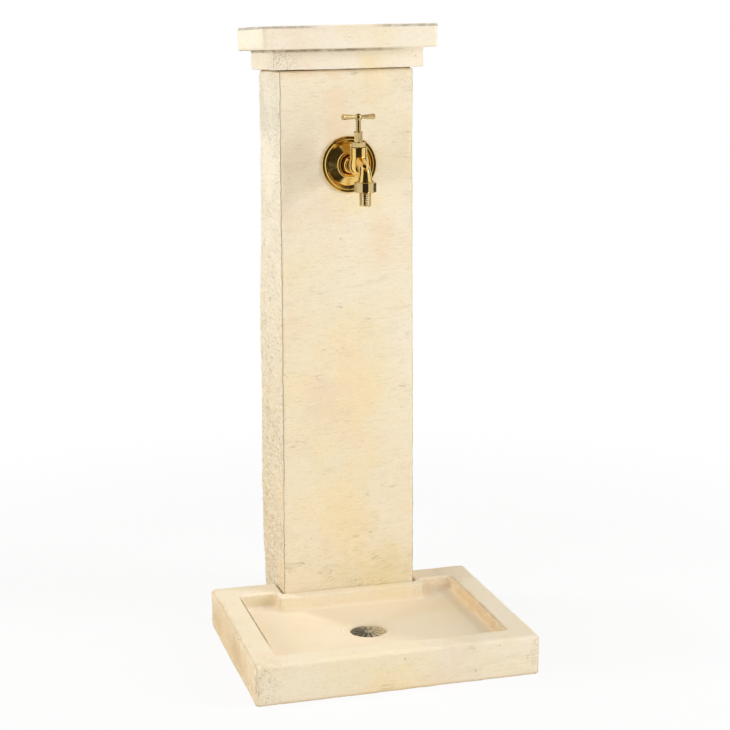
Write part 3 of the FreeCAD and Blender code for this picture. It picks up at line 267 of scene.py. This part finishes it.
BASIN_MARKS = (
    # Painted light: paler spots that lift the shade in the two back pockets
    ((-0.155, 0.058, 0.046), (0.040, 0.024, 0.012), 0.60, STONE_PALE, 0.5, 70.0, 0.0),
    ((0.162, 0.058, 0.046), (0.034, 0.024, 0.012), 0.90, STONE_PALE, 0.5, 70.0, 0.0),
    ((-0.152, 0.076, 0.052), (0.034, 0.008, 0.014), 0.30, STAIN_GREEN, 0.5, 70.0, 0.0),
    # A brown band on the right inner wall: partly a stain, partly painted shade of the wall
    ((0.187, -0.055, 0.046), (0.008, 0.200, 0.026), 0.42, STAIN_BROWN, 0.3, 40.0, 0.0),
    # Painted shadow of the column on the rear rim to its right, laid as dark flecks
    ((0.178, 0.060, 0.062), (0.040, 0.050, 0.012), 0.50, STONE_PIT, 0.5, 70.0, 400.0),
    # Painted shade over the basin's left side
    (*BASIN_LEFT_SIDE, 0.75, STONE_SIDE_PAINTED_SHADE, 0.3, 40.0, 0.0),
    ((basin_low[0], -0.090, 0.030), (0.014, 0.080, 0.026), 0.35, STAIN_BROWN, 0.4, 40.0, 0.0),
    ((basin_low[0], 0.060, 0.026), (0.014, 0.050, 0.020), 0.30, STAIN_BROWN, 0.4, 40.0, 0.0),
    (*BASIN_LEFT_SIDE, 0.35, STAIN_GREY, 0.3, 40.0, 360.0),
    ((-0.220, -0.228, 0.030), (0.040, 0.040, 0.050), 0.42, STONE_PIT, 0.9, 70.0, 420.0),
    ((0.223, -0.230, 0.030), (0.020, 0.030, 0.040), 0.45, STONE_PIT, 0.9, 70.0, 420.0),
)

# Rings round the drain: radius, half the width, strength; each is strongest within its core
DRAIN_RINGS = ((0.0335, 0.0014, 0.30), (0.0385, 0.0013, 0.22), (0.0440, 0.0013, 0.22))
RING_CORE = 0.0004

# The column's front-left arris, by its surface's turn to the left; each range here goes from outside a mask
# to inside it
ARRIS_FRONT = (-0.50, -0.62)
ARRIS_LEFT = (-0.84, -0.72)

# The two dirty ends of the capital's top arris, and the painted shadow line under its top slab
SLAB_LEFT_END = (-0.045, -0.080)
SLAB_RIGHT_END = (0.030, 0.065)
SLAB_ARRIS_HEIGHT = (0.9945, 0.9965)
SLAB_ARRIS_FACING = (0.92, 0.70)
UNDER_SLAB_LOW = (0.9575, 0.9610)
UNDER_SLAB_HIGH = (0.9640, 0.9632)
UNDER_SLAB_RIGHT = (0.120, 0.020)

# The painted shadow along the inner edge of the basin's left rim, a darker band at the foot, and the smooth
# floor of the recess
RIM_EDGE_LEFT = (-0.1905, -0.1895)
RIM_EDGE_RIGHT = (-0.1850, -0.1868)
RIM_EDGE_HEIGHT = (0.052, 0.056)
RIM_EDGE_BACK = (0.066, 0.060)
RIM_EDGE_FRONT = (-0.180, -0.120)
DARK_FOOT = (0.006, 0.001)
RECESS_SIDE = (0.188, 0.183)
RECESS_FRONT = (-0.196, -0.190)
RECESS_BACK = (0.078, 0.074)
RECESS_TOP = (0.050, 0.043)


def spot(tree, centre, reach, ragged, grain):
    """1 in the middle of a stain with a ragged outline, 0 outside it."""
    stretch = tuple(1 / side for side in reach)
    move = tuple(-middle * factor for middle, factor in zip(centre, stretch))
    local = place_of(tree, stretch=stretch, move=move)
    noisy = math_node(tree, "SUBTRACT", cloud(tree, grain, 4.0, 0.6, move=centre), 0.5)
    shifted = math_node(tree, "ADD", length(tree, local), product(tree, noisy, ragged * 4))
    return beyond(tree, shifted, 1.0, 0.35)


def marks(tree, table):
    """The masks and shades of a table of marks."""
    coats = []
    for centre, reach, strength, shade, ragged, grain, flecks in table:
        mask = spot(tree, centre, reach, ragged, grain)
        if flecks:
            fleck = cloud(tree, flecks, 3.0, 0.7, move=(4.4, 2.7, 8.1))
            mask = product(tree, mask, beyond(tree, fleck, 0.50, 0.40))
        coats.append((product(tree, mask, strength), shade))
    return coats


def cleft_lines(tree, stretch, move, slope, shown):
    """Short lines, like the edges of thin layers, that come and go over the face."""
    wide = cloud(tree, 1.0, 5.0, 0.66, 1.2, stretch=stretch, move=move, slope=slope)
    line = beyond(tree, distance_off(tree, wide, 0.5), 0.014, 0.002)
    patches = cloud(tree, 1.0, 4.0, 0.6, stretch=(22.0, 22.0, 30.0), move=(4.0, 6.0, 1.0))
    return product(tree, line, grade(tree, patches, *shown))


def scattered_pits(tree):
    """Small holes of uneven size, more in some places than in others."""
    ragged = add_node(tree, "TexNoise", {"Vector": place_of(tree), "Scale": PIT_SHAKE_GRAIN, "Detail": 2.0})
    shaken = add_node(tree, "VectorMath", {0: ragged.outputs["Color"], 1: PIT_SHAKE},
                      operation="MULTIPLY").outputs[0]
    place = add_node(tree, "VectorMath", {0: place_of(tree), 1: shaken}, operation="ADD").outputs[0]
    cells = add_node(tree, "TexVoronoi", {"Vector": place, "Scale": PIT_GRAIN, "Randomness": 1.0})
    parts = add_node(tree, "SeparateColor", {0: cells.outputs["Color"]})
    radius = grade(tree, parts.outputs[1], 0.0, 1.0, *PIT_RADII)
    share = math_node(tree, "DIVIDE", cells.outputs["Distance"], radius)
    crowd = grade(tree, cloud(tree, 13.0, move=(9.0, 3.0, 7.0)), 0.42, 0.70, *PIT_LIMITS)
    chosen = math_node(tree, "GREATER_THAN", parts.outputs[0], crowd)
    return product(tree, beyond(tree, share, 1.0, 0.55), chosen)


def stone_colour(tree, paleness, blotches):
    """Soft clouds of six near shades, with painted light that makes it paler towards the top, most on left
    faces;
    a paler stone has more of the pale one.
    """
    whiter = grade(tree, cloud(tree, 5.0), 0.40, 0.66, paleness, min(paleness + 0.45, 1.0))
    left = beyond(tree, facing(tree)[0], -0.5, -0.8)
    topmost = beyond(tree, axes_of(tree)[2], *TOP_PAINTED_LIGHT_HEIGHTS)
    # Painted light: paler towards the top, most on faces that turn to the left
    painted_top_light = product(tree, topmost, math_node(tree, "ADD", product(tree, left, 0.5), 0.2))
    whiter = math_node(tree, "ADD", whiter, painted_top_light, clamp=True)
    coats = [(grade(tree, cloud(tree, grain, detail, move=move), *span, 0.0, most * blotches), shade)
             for move, grain, detail, span, most, shade in STONE_CLOUDS]
    return paint(tree, blend_colour(tree, whiter, STONE_CREAM, STONE_PALE), coats)


def cast_stone_material(name, stains, paleness, blotches, side_relief, clefts, smooth=None):
    """Cream cast stone: level streaks on upright faces, hacked sides and back, stains of its own piece;
    the sides get painted shade low down and in their hollows, and painted light high up.
    """
    material, tree, shader = new_material(name)
    normal_x, normal_y, normal_z = facing(tree)
    upright = beyond(tree, math_node(tree, "ABSOLUTE", normal_z), 0.8, 0.4)
    layered = product(tree, upright, 0.4 + 0.6 * clefts)
    aside = math_node(tree, "MAXIMUM", math_node(tree, "ABSOLUTE", normal_x), normal_y)
    side = product(tree, beyond(tree, aside, 0.5, 0.8), side_relief)
    rough = 1.0 if smooth is None else math_node(tree, "SUBTRACT", 1.0, smooth(tree))

    broad = cloud(tree, 1.0, 5.0, 0.6, 0.9, stretch=BROAD_STRETCH, move=(1.0, 2.0, 0.5), slope=0.12)
    layers = cloud(tree, 1.0, 5.0, 0.72, 1.2, stretch=LAYER_STRETCH, slope=0.07)
    hacked = cloud(tree, HACKED_GRAIN, 4.0, 0.75, 0.8, stretch=HACKED_STRETCH, move=(2.5, 0.3, 1.2))
    patches = grade(tree, cloud(tree, 12.0, move=(0.7, 3.3, 5.9)), 0.38, 0.56, 0.55, 1.0)
    sand = cloud(tree, SAND_GRAIN, 3.0, 0.7)
    lines = cleft_lines(tree, CLEFT_STRETCH, (2.0, 1.0, 3.0), 0.1, shown=(0.56, 0.72))
    cleft = product(tree, lines, upright, clefts)
    pit = product(tree, scattered_pits(tree), rough)
    # Painted shade low on the sides, painted light high up
    up_the_piece = beyond(tree, axes_of(tree)[2], *SIDE_PAINTED_SHADE_HEIGHTS)
    side_painted_shading = blend_colour(tree, up_the_piece, STONE_SIDE_PAINTED_SHADE, STONE_SIDE_PAINTED_LIGHT)

    coats = [
        (product(tree, grade(tree, broad, 0.54, 0.74), upright, 0.22), STONE_STREAK),
        (product(tree, beyond(tree, layers, 0.46, 0.34), layered, 0.50), STONE_STREAK),
        (product(tree, grade(tree, layers, 0.54, 0.66), layered, 0.60), STONE_PALE),
        (product(tree, beyond(tree, sand, 0.44, 0.30), rough, 0.45), STONE_STREAK),
        # The sides' own tone, laid with painted shade low down and painted light high up
        (product(tree, side, 0.75), side_painted_shading),
        # Painted shade in the hollows of the hacked sides, and paler raised flakes, partly painted light
        (product(tree, beyond(tree, hacked, 0.43, 0.36), side, patches, 0.55), STONE_CLEFT),
        (product(tree, grade(tree, hacked, 0.45, 0.54), side, patches, 0.90), STONE_FLAKE),
        (product(tree, cleft, 0.30), STONE_CLEFT),
        (product(tree, pit, 0.5), STONE_PIT),
    ]
    if smooth is not None:
        coats.append((product(tree, smooth(tree), 0.5), STONE_FLOOR))
    colour = paint(tree, stone_colour(tree, paleness, blotches), coats + stains(tree))

    height = product(tree, layers, layered, 0.9)
    height = math_node(tree, "ADD", height, product(tree, sand, 0.45))
    height = math_node(tree, "ADD", height, product(tree, hacked, side, patches, 6.0))
    height = math_node(tree, "SUBTRACT", height, product(tree, math_node(tree, "MAXIMUM", pit, cleft), 0.8))
    normal = bump(tree, product(tree, height, rough), RELIEF_DEPTH, 0.8)
    feed(tree, shader, {"Base Color": colour, "Roughness": 0.86, "Specular IOR Level": 0.25,
                        "Normal": normal})
    return material


def column_stains(tree):
    """A dark line down the front-left arris, cracks that rise to the right over a greenish foot, marks."""
    normal_x = facing(tree)[0]
    line = product(tree, beyond(tree, normal_x, *ARRIS_FRONT), beyond(tree, normal_x, *ARRIS_LEFT))
    broken = grade(tree, cloud(tree, 60.0), 0.35, 0.6, 0.10, 0.35)
    foot = spot(tree, *COLUMN_FOOT, 0.6, 30.0)
    cracks = cleft_lines(tree, CRACK_STRETCH, (5.0, 1.0, 2.0), CRACK_SLOPE, shown=(0.42, 0.56))
    return [
        (product(tree, line, broken), STONE_CLEFT),
        (product(tree, foot, 0.20), STAIN_GREEN),
        (product(tree, cracks, foot, 0.85), STONE_PIT),
        *marks(tree, COLUMN_MARKS),
    ]


def capital_stains(tree):
    """Dirt along the top slab's arris and a painted shadow line under the slab, both following the tilt, and
    marks.
    """
    axis_x, _, axis_z = axes_of(tree)
    rise = product(tree, math_node(tree, "SUBTRACT", axis_x, TILT_MIDDLE), TOP_TILT)
    level = math_node(tree, "SUBTRACT", axis_z, rise)
    left_end = beyond(tree, axis_x, *SLAB_LEFT_END)
    right_end = beyond(tree, axis_x, *SLAB_RIGHT_END)
    ends = math_node(tree, "MAXIMUM", left_end, right_end)
    turned = beyond(tree, facing(tree)[2], *SLAB_ARRIS_FACING)
    arris = product(tree, beyond(tree, level, *SLAB_ARRIS_HEIGHT), turned, ends)
    # Painted shadow in a line under the slab's overhang
    under = product(tree, beyond(tree, level, *UNDER_SLAB_LOW), beyond(tree, level, *UNDER_SLAB_HIGH),
                    beyond(tree, axis_x, *UNDER_SLAB_RIGHT))
    broken = grade(tree, cloud(tree, 70.0, move=(6.0, 1.0, 2.0)), 0.34, 0.56, 0.45, 0.95)
    return [
        (product(tree, arris, broken), STAIN_GREY),
        (product(tree, under, broken), STONE_PIT),
        *marks(tree, CAPITAL_MARKS),
    ]


def basin_stains(tree):
    """Marks, some of them painted light and shade, a darker foot, rings round the drain, and a painted
    shadow line on the left rim's inner edge.
    """
    axis_x, axis_y, axis_z = axes_of(tree)
    from_drain = distance_from(tree, DRAIN_PLACE)
    rings = 0.0
    for radius, half_width, strength in DRAIN_RINGS:
        off = distance_off(tree, from_drain, radius)
        ring = product(tree, beyond(tree, off, half_width, RING_CORE), strength)
        rings = math_node(tree, "MAXIMUM", rings, ring)
    broken = grade(tree, cloud(tree, 34.0, move=(3.0, 3.0, 1.0)), 0.40, 0.58, 0.1, 1.0)
    # Painted shadow along the left rim's inner edge, over the hidden wall below it
    edge = product(tree, beyond(tree, axis_x, *RIM_EDGE_LEFT), beyond(tree, axis_x, *RIM_EDGE_RIGHT),
                   beyond(tree, axis_z, *RIM_EDGE_HEIGHT), beyond(tree, axis_y, *RIM_EDGE_BACK),
                   beyond(tree, axis_y, *RIM_EDGE_FRONT))
    return [
        *marks(tree, BASIN_MARKS),
        # Darker towards the foot of the basin
        (product(tree, beyond(tree, axis_z, *DARK_FOOT), 0.35), STAIN_BROWN),
        (product(tree, rings, broken), STONE_CLEFT),
        (product(tree, edge, 0.85), STONE_PIT),
    ]


def recess_floor(tree):
    """How smooth the basin is: 0.9 on the floor inside the rim, 0 elsewhere."""
    axis_x, axis_y, axis_z = axes_of(tree)
    across = beyond(tree, math_node(tree, "ABSOLUTE", axis_x), *RECESS_SIDE)
    along = product(tree, beyond(tree, axis_y, *RECESS_FRONT), beyond(tree, axis_y, *RECESS_BACK))
    return product(tree, across, along, beyond(tree, axis_z, *RECESS_TOP), 0.9)


# Other materials

def plain_material(name, colour, roughness, metallic=0.0, grain=300.0, depth=0.0001, spread=0.12):
    """A finish with a faint cloudy change of colour and a fine grain."""
    material, tree, shader = new_material(name)
    mottle = grade(tree, cloud(tree, grain * 0.4), 0.35, 0.7)
    shade = blend_colour(tree, mottle, colour, darkened(colour, spread))
    normal = bump(tree, cloud(tree, grain), depth, 0.5)
    feed(tree, shader, {"Base Color": shade, "Metallic": metallic, "Roughness": roughness, "Normal": normal})
    return material


def polished_material(name, colour, roughness, wear, spread=0.2, wave=0.0002):
    """Polished metal with faint tarnish and tiny waves left by the polishing."""
    material, tree, shader = new_material(name)
    tarnish = grade(tree, cloud(tree, 90.0, 5.0), 0.45, 0.75)
    shade = blend_colour(tree, tarnish, colour, darkened(colour, spread))
    smear = grade(tree, cloud(tree, 160.0, 4.0), 0.3, 0.8, roughness, roughness + wear)
    normal = bump(tree, cloud(tree, 110.0, 2.0), wave, 0.35)
    feed(tree, shader, {"Base Color": shade, "Metallic": 1.0, "Roughness": smear, "Normal": normal})
    return material


def strainer_material():
    """Weathered steel, grey and mottled, with a tan deposit on its right part and a painted shadow of the
    lip on its left.
    """
    material, tree, shader = new_material("strainer_steel")
    axis_x = axes_of(tree)[0]
    mottle = grade(tree, cloud(tree, 420.0, 4.0, 0.7), 0.38, 0.62)
    steel = blend_colour(tree, mottle, linear(128, 122, 108), linear(188, 180, 158))
    deposit = grade(tree, cloud(tree, 260.0, 4.0, 0.7, move=(1.0, 5.0, 2.0)), 0.36, 0.52)
    shade = paint(tree, steel, [
        (product(tree, beyond(tree, axis_x, -0.002, 0.012), deposit, 0.85), linear(222, 204, 164)),
        # Painted shadow of the lip on the left part of the strainer
        (product(tree, beyond(tree, axis_x, 0.004, -0.016), 0.75), linear(74, 69, 58)),
    ])
    normal = bump(tree, cloud(tree, 380.0), 0.0006, 0.6)
    feed(tree, shader, {"Base Color": shade, "Metallic": 0.3, "Roughness": 0.55, "Normal": normal})
    return material


# Stone pieces

COLUMN_CELL = 0.0036
BASIN_CELL = 0.0022
CAPITAL_CELL = 0.0018
BED_CELL = CAPITAL_CELL / 2
WELD_DISTANCE = 0.00001

# Unevenness of the stone: how far each kind moves a point, and how fine it is
WAVE_DEPTH = 0.0012
WAVE_GRAIN = 7.0
LUMP_DEPTH = 0.00035
LUMP_GRAIN = 34.0
LAYER_DEPTH = 0.0003
LAYER_LEVEL_GRAIN = 9.0
LAYER_UPWARD_GRAIN = 62.0
HACKED_DEPTH = 0.0009
HACKED_LUMP_GRAIN = 62.0
CHIP_DEPTH = 0.0016
CHIP_GRAIN = 55.0
FINE_CHIP_GRAIN = 130.0

# The bow of the column's left side: how far it goes, the heights where it sets in and ends, and where it
# sets in from the front to the back
SIDE_BOW = 0.0035
BOW_START_HEIGHTS = (0.066, 0.12)
BOW_END_HEIGHTS = (0.50, 0.72)
BOW_START_DEPTHS = (0.10, 0.20)


def keep_object(name, mesh, material=None):
    """Puts a mesh in the scene, in one material where that is given."""
    piece = bpy.data.objects.new(name, mesh)
    SCENE.collection.objects.link(piece)
    if material is not None:
        mesh.materials.clear()
        mesh.materials.append(material)
    return piece


def even_mesh(node, cell):
    """The shape of a stone node in small even faces of the given size."""
    draft = bmesh.new()
    draft.from_mesh(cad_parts[node].data)
    bmesh.ops.remove_doubles(draft, verts=draft.verts, dist=WELD_DISTANCE)
    rough = bpy.data.meshes.new(f"{node}_rough")
    draft.to_mesh(rough)
    draft.free()
    piece = keep_object(f"{node}_rough", rough)
    cells = piece.modifiers.new("even_cells", "REMESH")
    cells.mode = "VOXEL"
    cells.voxel_size = cell
    graph = bpy.context.evaluated_depsgraph_get()
    mesh = bpy.data.meshes.new_from_object(piece.evaluated_get(graph))
    bpy.data.objects.remove(piece)
    bpy.data.meshes.remove(rough)
    mesh.name = f"{node}_stone"
    for polygon in mesh.polygons:
        polygon.use_smooth = True
    return mesh


def smooth_rise(value, low, high):
    share = min(max((value - low) / (high - low), 0.0), 1.0)
    return share * share * (3 - 2 * share)


def weather(mesh, seed):
    """Moves each point along its normal: an uneven cast, thin layers, a hacked left side, worn arrises."""
    offset = Vector((seed * 3.7, seed * 1.3, seed * 5.1))
    normals = [vertex.normal.copy() for vertex in mesh.vertices]
    for vertex, normal in zip(mesh.vertices, normals):
        place = vertex.co
        upright = 1 - abs(normal.z)
        push = WAVE_DEPTH * noise.noise(place * WAVE_GRAIN + offset)
        push += LUMP_DEPTH * noise.fractal(place * LUMP_GRAIN + offset, 0.9, 2.1, 3)
        flat = Vector((place.x * LAYER_LEVEL_GRAIN, place.y * LAYER_LEVEL_GRAIN,
                       place.z * LAYER_UPWARD_GRAIN))
        push += LAYER_DEPTH * noise.noise(flat + offset) * upright
        to_the_left = max(-normal.x, 0.0) * upright
        if to_the_left > 0.5:
            lumps = noise.fractal(place * HACKED_LUMP_GRAIN + offset, 0.8, 2.2, 4)
            push += HACKED_DEPTH * to_the_left * lumps
        corner = 1 - max(abs(normal.x), abs(normal.y), abs(normal.z))
        if corner > 0.03:
            chip = noise.noise(place * CHIP_GRAIN + offset)
            chip += 0.6 * noise.noise(place * FINE_CHIP_GRAIN + offset)
            push -= CHIP_DEPTH * min(corner * 4, 1.0) * max(chip + 0.1, 0.0)
        vertex.co = place + normal * push


def bow_left_side(mesh):
    """The shaft's left side swells a little at the back, most between its foot and its middle."""
    faces_left = [vertex.normal.x < -0.2 for vertex in mesh.vertices]
    for vertex, is_left in zip(mesh.vertices, faces_left):
        if is_left:
            share = smooth_rise(vertex.co.z, *BOW_START_HEIGHTS)
            share *= 1 - smooth_rise(vertex.co.z, *BOW_END_HEIGHTS)
            vertex.co.x -= SIDE_BOW * share * smooth_rise(vertex.co.y, *BOW_START_DEPTHS)


def tilt_top(mesh):
    """The top was set a little out of level: its right end is higher."""
    for vertex in mesh.vertices:
        share = smooth_rise(vertex.co.z, *TILT_HEIGHTS)
        vertex.co.z += (vertex.co.x - TILT_MIDDLE) * TOP_TILT * share


def add_stone(name, mesh, material, node):
    """Puts a finished mesh in the place of its node, with nothing of it under the ground."""
    for vertex in mesh.vertices:
        vertex.co.z = max(vertex.co.z, 0.0)
    mesh.update()
    piece = keep_object(name, mesh, material)
    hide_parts(node)
    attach(piece, "root")


def make_column():
    stone = cast_stone_material("column_stone", column_stains, paleness=0.05, blotches=1.0,
                                side_relief=1.0, clefts=1.0)
    mesh = even_mesh("column", COLUMN_CELL)
    weather(mesh, seed=1)
    bow_left_side(mesh)
    tilt_top(mesh)
    add_stone("column_cast", mesh, stone, "column")


def make_basin():
    stone = cast_stone_material("basin_stone", basin_stains, paleness=0.25, blotches=1.0,
                                side_relief=0.6, clefts=0.6, smooth=recess_floor)
    mesh = even_mesh("basin", BASIN_CELL)
    weather(mesh, seed=2)
    add_stone("basin_cast", mesh, stone, "basin")


def make_capital():
    stone = cast_stone_material("capital_stone", capital_stains, paleness=0.65, blotches=0.7,
                                side_relief=0.35, clefts=0.3)
    mesh = even_mesh("capital", CAPITAL_CELL)
    weather(mesh, seed=3)
    tilt_top(mesh)
    add_stone("capital_cast", mesh, stone, "capital")


def make_capital_bed():
    mortar = plain_material("bedding_mortar", linear(78, 68, 53), 0.95, grain=500.0, depth=0.0006,
                            spread=0.3)
    mesh = even_mesh("capital_bed", BED_CELL)
    tilt_top(mesh)
    add_stone("capital_mortar", mesh, mortar, "capital_bed")


# Metal, rubber and plastic nodes

def dress(material, *nodes):
    """Gives CAD nodes a material; their shapes stay."""
    for node in nodes:
        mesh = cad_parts[node].data
        mesh.materials.clear()
        mesh.materials.append(material)


def dress_tap():
    dress(polished_material("gilt_brass", linear(238, 202, 118), 0.09, wear=0.08, spread=0.12), "rosette")
    dress(polished_material("tap_brass", linear(241, 204, 122), 0.07, wear=0.08, spread=0.12), "tap_body")
    dress(polished_material("pale_brass", linear(232, 210, 158), 0.15, wear=0.10, spread=0.18, wave=0.0006),
          "hose_tail")
    dress(polished_material("dull_brass", linear(212, 186, 130), 0.18, wear=0.10, spread=0.22, wave=0.0006),
          "bonnet", "gland_nut", "union_nut", "t_handle")
    dress(polished_material("inner_brass", linear(196, 160, 96), 0.28, wear=0.15),
          "spindle", "jumper_valve", "jumper_nut", "handle_pin")
    dress(plain_material("seal_rubber", linear(34, 32, 31), 0.7), "jumper_washer", "hose_washer")
    dress(plain_material("seal_fibre", linear(120, 84, 52), 0.8), "bonnet_washer", "gland_packing")


def dress_pipework():
    dress(polished_material("pipe_brass", linear(190, 156, 92), 0.32, wear=0.2),
          "wall_nipple", "flanged_elbow", "elbow_nut", "elbow_olive",
          "foot_nut", "foot_olive", "foot_coupler")
    dress(polished_material("pipe_copper", linear(196, 120, 88), 0.3, wear=0.2, spread=0.35), "riser_pipe")
    dress(plain_material("clip_plastic", linear(238, 238, 234), 0.45),
          "lower_pipe_clip", "upper_pipe_clip", "wall_plugs")
    dress(plain_material("screw_steel", linear(186, 182, 172), 0.3, metallic=1.0),
          "elbow_screws", "clip_screws")


def dress_drain():
    dress(strainer_material(), "strainer")
    dress(plain_material("waste_plastic", linear(206, 206, 200), 0.5), "waste_socket")


# Floor, world and lamps

FLOOR_SIZE = 12.0
FLOOR_COLOUR = (0.86, 0.86, 0.85, 1.0)
FLOOR_FADE_START = 0.7
FLOOR_FADE_END = 1.6
FLOOR_NEAR_GLOW = 0.86
DRAIN_SHADOW_RADII = (0.03, 0.05)
WORLD_COLOUR = (1.0, 0.985, 0.96, 1.0)
WORLD_STRENGTH = 0.46

# Lamps: name, place, target, width, power, and whether reflections show them
LAMPS = (
    ("left_softbox", (-2.6, -0.85, 0.95), (0.0, 0.0, 0.55), 2.2, 42.5, False),
    ("right_softbox", (2.75, -1.45, 1.2), (0.0, 0.0, 0.5), 1.8, 46.0, False),
    ("right_lamp", (1.9, -0.9, 1.75), (0.1, -0.05, 0.1), 0.3, 9.5, True),
    ("back_lamp", (-0.50, 0.52, 2.5), (0.0, 0.0, 0.05), 0.16, 12.5, False),
)

# Cards: name, tone, first and last angle from the front in degrees, and a profile as radius and height
DARK = (0.040, 0.034, 0.026, 1.0)
BROWN = (0.44, 0.27, 0.09, 1.0)
CARD_FOOT = 0.004
WALL_RADIUS = 3.6
WALL_FOOT = (WALL_RADIUS, CARD_FOOT)
WALL_TOP = (WALL_RADIUS, 3.4)
CARD_STEPS = 24
CARDS = (
    ("dark_card_front", DARK, -54.0, -18.0, ((0.36, CARD_FOOT), WALL_FOOT, WALL_TOP, (3.3, 5.3))),
    ("dark_card_low", DARK, -18.0, -3.0, ((0.36, CARD_FOOT), WALL_FOOT, WALL_TOP)),
    ("dark_card_middle", DARK, -3.0, 30.0, ((WALL_RADIUS, 0.2), WALL_TOP)),
    ("brown_card_high", BROWN, -18.0, 36.0, (WALL_TOP, (3.2, 5.6), (2.6, 7.2))),
    ("dark_card_right", DARK, 88.0, 112.0, ((0.62, CARD_FOOT), WALL_FOOT, WALL_TOP)),
    ("dark_card_left", DARK, -130.0, -104.0, ((0.62, CARD_FOOT), WALL_FOOT, WALL_TOP)),
    ("dark_card_top", DARK, 0.0, 360.0, ((0.01, 3.45), (1.4, 3.45))),
)


def seen_directly(tree):
    """1 for what the camera sees straight, in metal or through glass, else 0."""
    rays = add_node(tree, "LightPath")
    straight = math_node(tree, "MAXIMUM", rays.outputs["Is Camera Ray"], rays.outputs["Is Glossy Ray"])
    return math_node(tree, "MAXIMUM", straight, rays.outputs["Is Transmission Ray"])


def make_floor():
    """A floor that glows white where it is seen, less so near the fountain and not under its drain."""
    draft = bmesh.new()
    bmesh.ops.create_grid(draft, x_segments=2, y_segments=2, size=FLOOR_SIZE / 2)
    mesh = bpy.data.meshes.new("studio_floor")
    draft.to_mesh(mesh)
    draft.free()
    material, tree, shader = new_material("studio_floor")
    feed(tree, shader, {"Base Color": FLOOR_COLOUR, "Roughness": 0.9, "Specular IOR Level": 0.1})
    glow = add_node(tree, "Emission", {"Color": WHITE, "Strength": 1.0}).outputs[0]
    from_middle = distance_from(tree, (0.0, 0.0))
    far = grade(tree, from_middle, FLOOR_FADE_START, FLOOR_FADE_END, FLOOR_NEAR_GLOW, 1.0)
    out_of_drain = beyond(tree, distance_from(tree, DRAIN_PLACE), *DRAIN_SHADOW_RADII)
    share = product(tree, far, seen_directly(tree), out_of_drain)
    mixed = add_node(tree, "MixShader", {0: share, 1: shader.outputs[0], 2: glow}).outputs[0]
    feed(tree, tree.nodes["Material Output"], {"Surface": mixed})
    keep_object("studio_floor", mesh, material)


def make_world():
    """White where it is seen, and a weaker, warmer light on the fountain."""
    world = bpy.data.worlds.new("studio")
    SCENE.world = world
    world.use_nodes = True
    tree = world.node_tree
    tree.nodes.clear()
    soft = add_node(tree, "Background", {"Color": WORLD_COLOUR, "Strength": WORLD_STRENGTH}).outputs[0]
    white = add_node(tree, "Background", {"Color": WHITE, "Strength": 1.0}).outputs[0]
    mixed = add_node(tree, "MixShader", {0: seen_directly(tree), 1: soft, 2: white}).outputs[0]
    add_node(tree, "OutputWorld", {"Surface": mixed})


def add_lamp(name, place, target, width, power, mirrored):
    """A round lamp that shines at its target."""
    lamp = bpy.data.objects.new(name, bpy.data.lights.new(name, "AREA"))
    SCENE.collection.objects.link(lamp)
    lamp.data.shape = "DISK"
    lamp.data.size = width
    lamp.data.energy = power
    lamp.visible_glossy = mirrored
    aim = (Vector(target) - Vector(place)).to_track_quat("-Z", "Y")
    lamp.matrix_world = Matrix.Translation(place) @ aim.to_matrix().to_4x4()


def add_card(name, tone, first_angle, last_angle, profile):
    """A curved card that only reflections show."""
    draft = bmesh.new()
    start, end = math.radians(first_angle), math.radians(last_angle)
    edge = [draft.verts.new((radius * math.sin(start), -radius * math.cos(start), height))
            for radius, height in profile]
    for below, above in zip(edge, edge[1:]):
        draft.edges.new((below, above))
    bmesh.ops.spin(draft, geom=draft.verts[:] + draft.edges[:], cent=(0, 0, 0), axis=(0, 0, 1),
                   angle=end - start, steps=CARD_STEPS, use_merge=False, use_duplicate=False)
    mesh = bpy.data.meshes.new(name)
    draft.to_mesh(mesh)
    draft.free()
    material, tree, shader = new_material(name)
    feed(tree, shader, {"Base Color": BLACK, "Roughness": 1.0, "Specular IOR Level": 0.0,
                        "Emission Color": tone, "Emission Strength": 1.0})
    card = keep_object(name, mesh, material)
    card.visible_camera = False
    card.visible_diffuse = False
    card.visible_shadow = False
    card.visible_transmission = False


def light_scene():
    make_world()
    for lamp in LAMPS:
        add_lamp(*lamp)
    for card in CARDS:
        add_card(*card)


place_camera()
make_column()
make_basin()
make_capital()
make_capital_bed()
dress_tap()
dress_pipework()
dress_drain()
make_floor()
light_scene()

SCENE.view_settings.view_transform = "Standard"
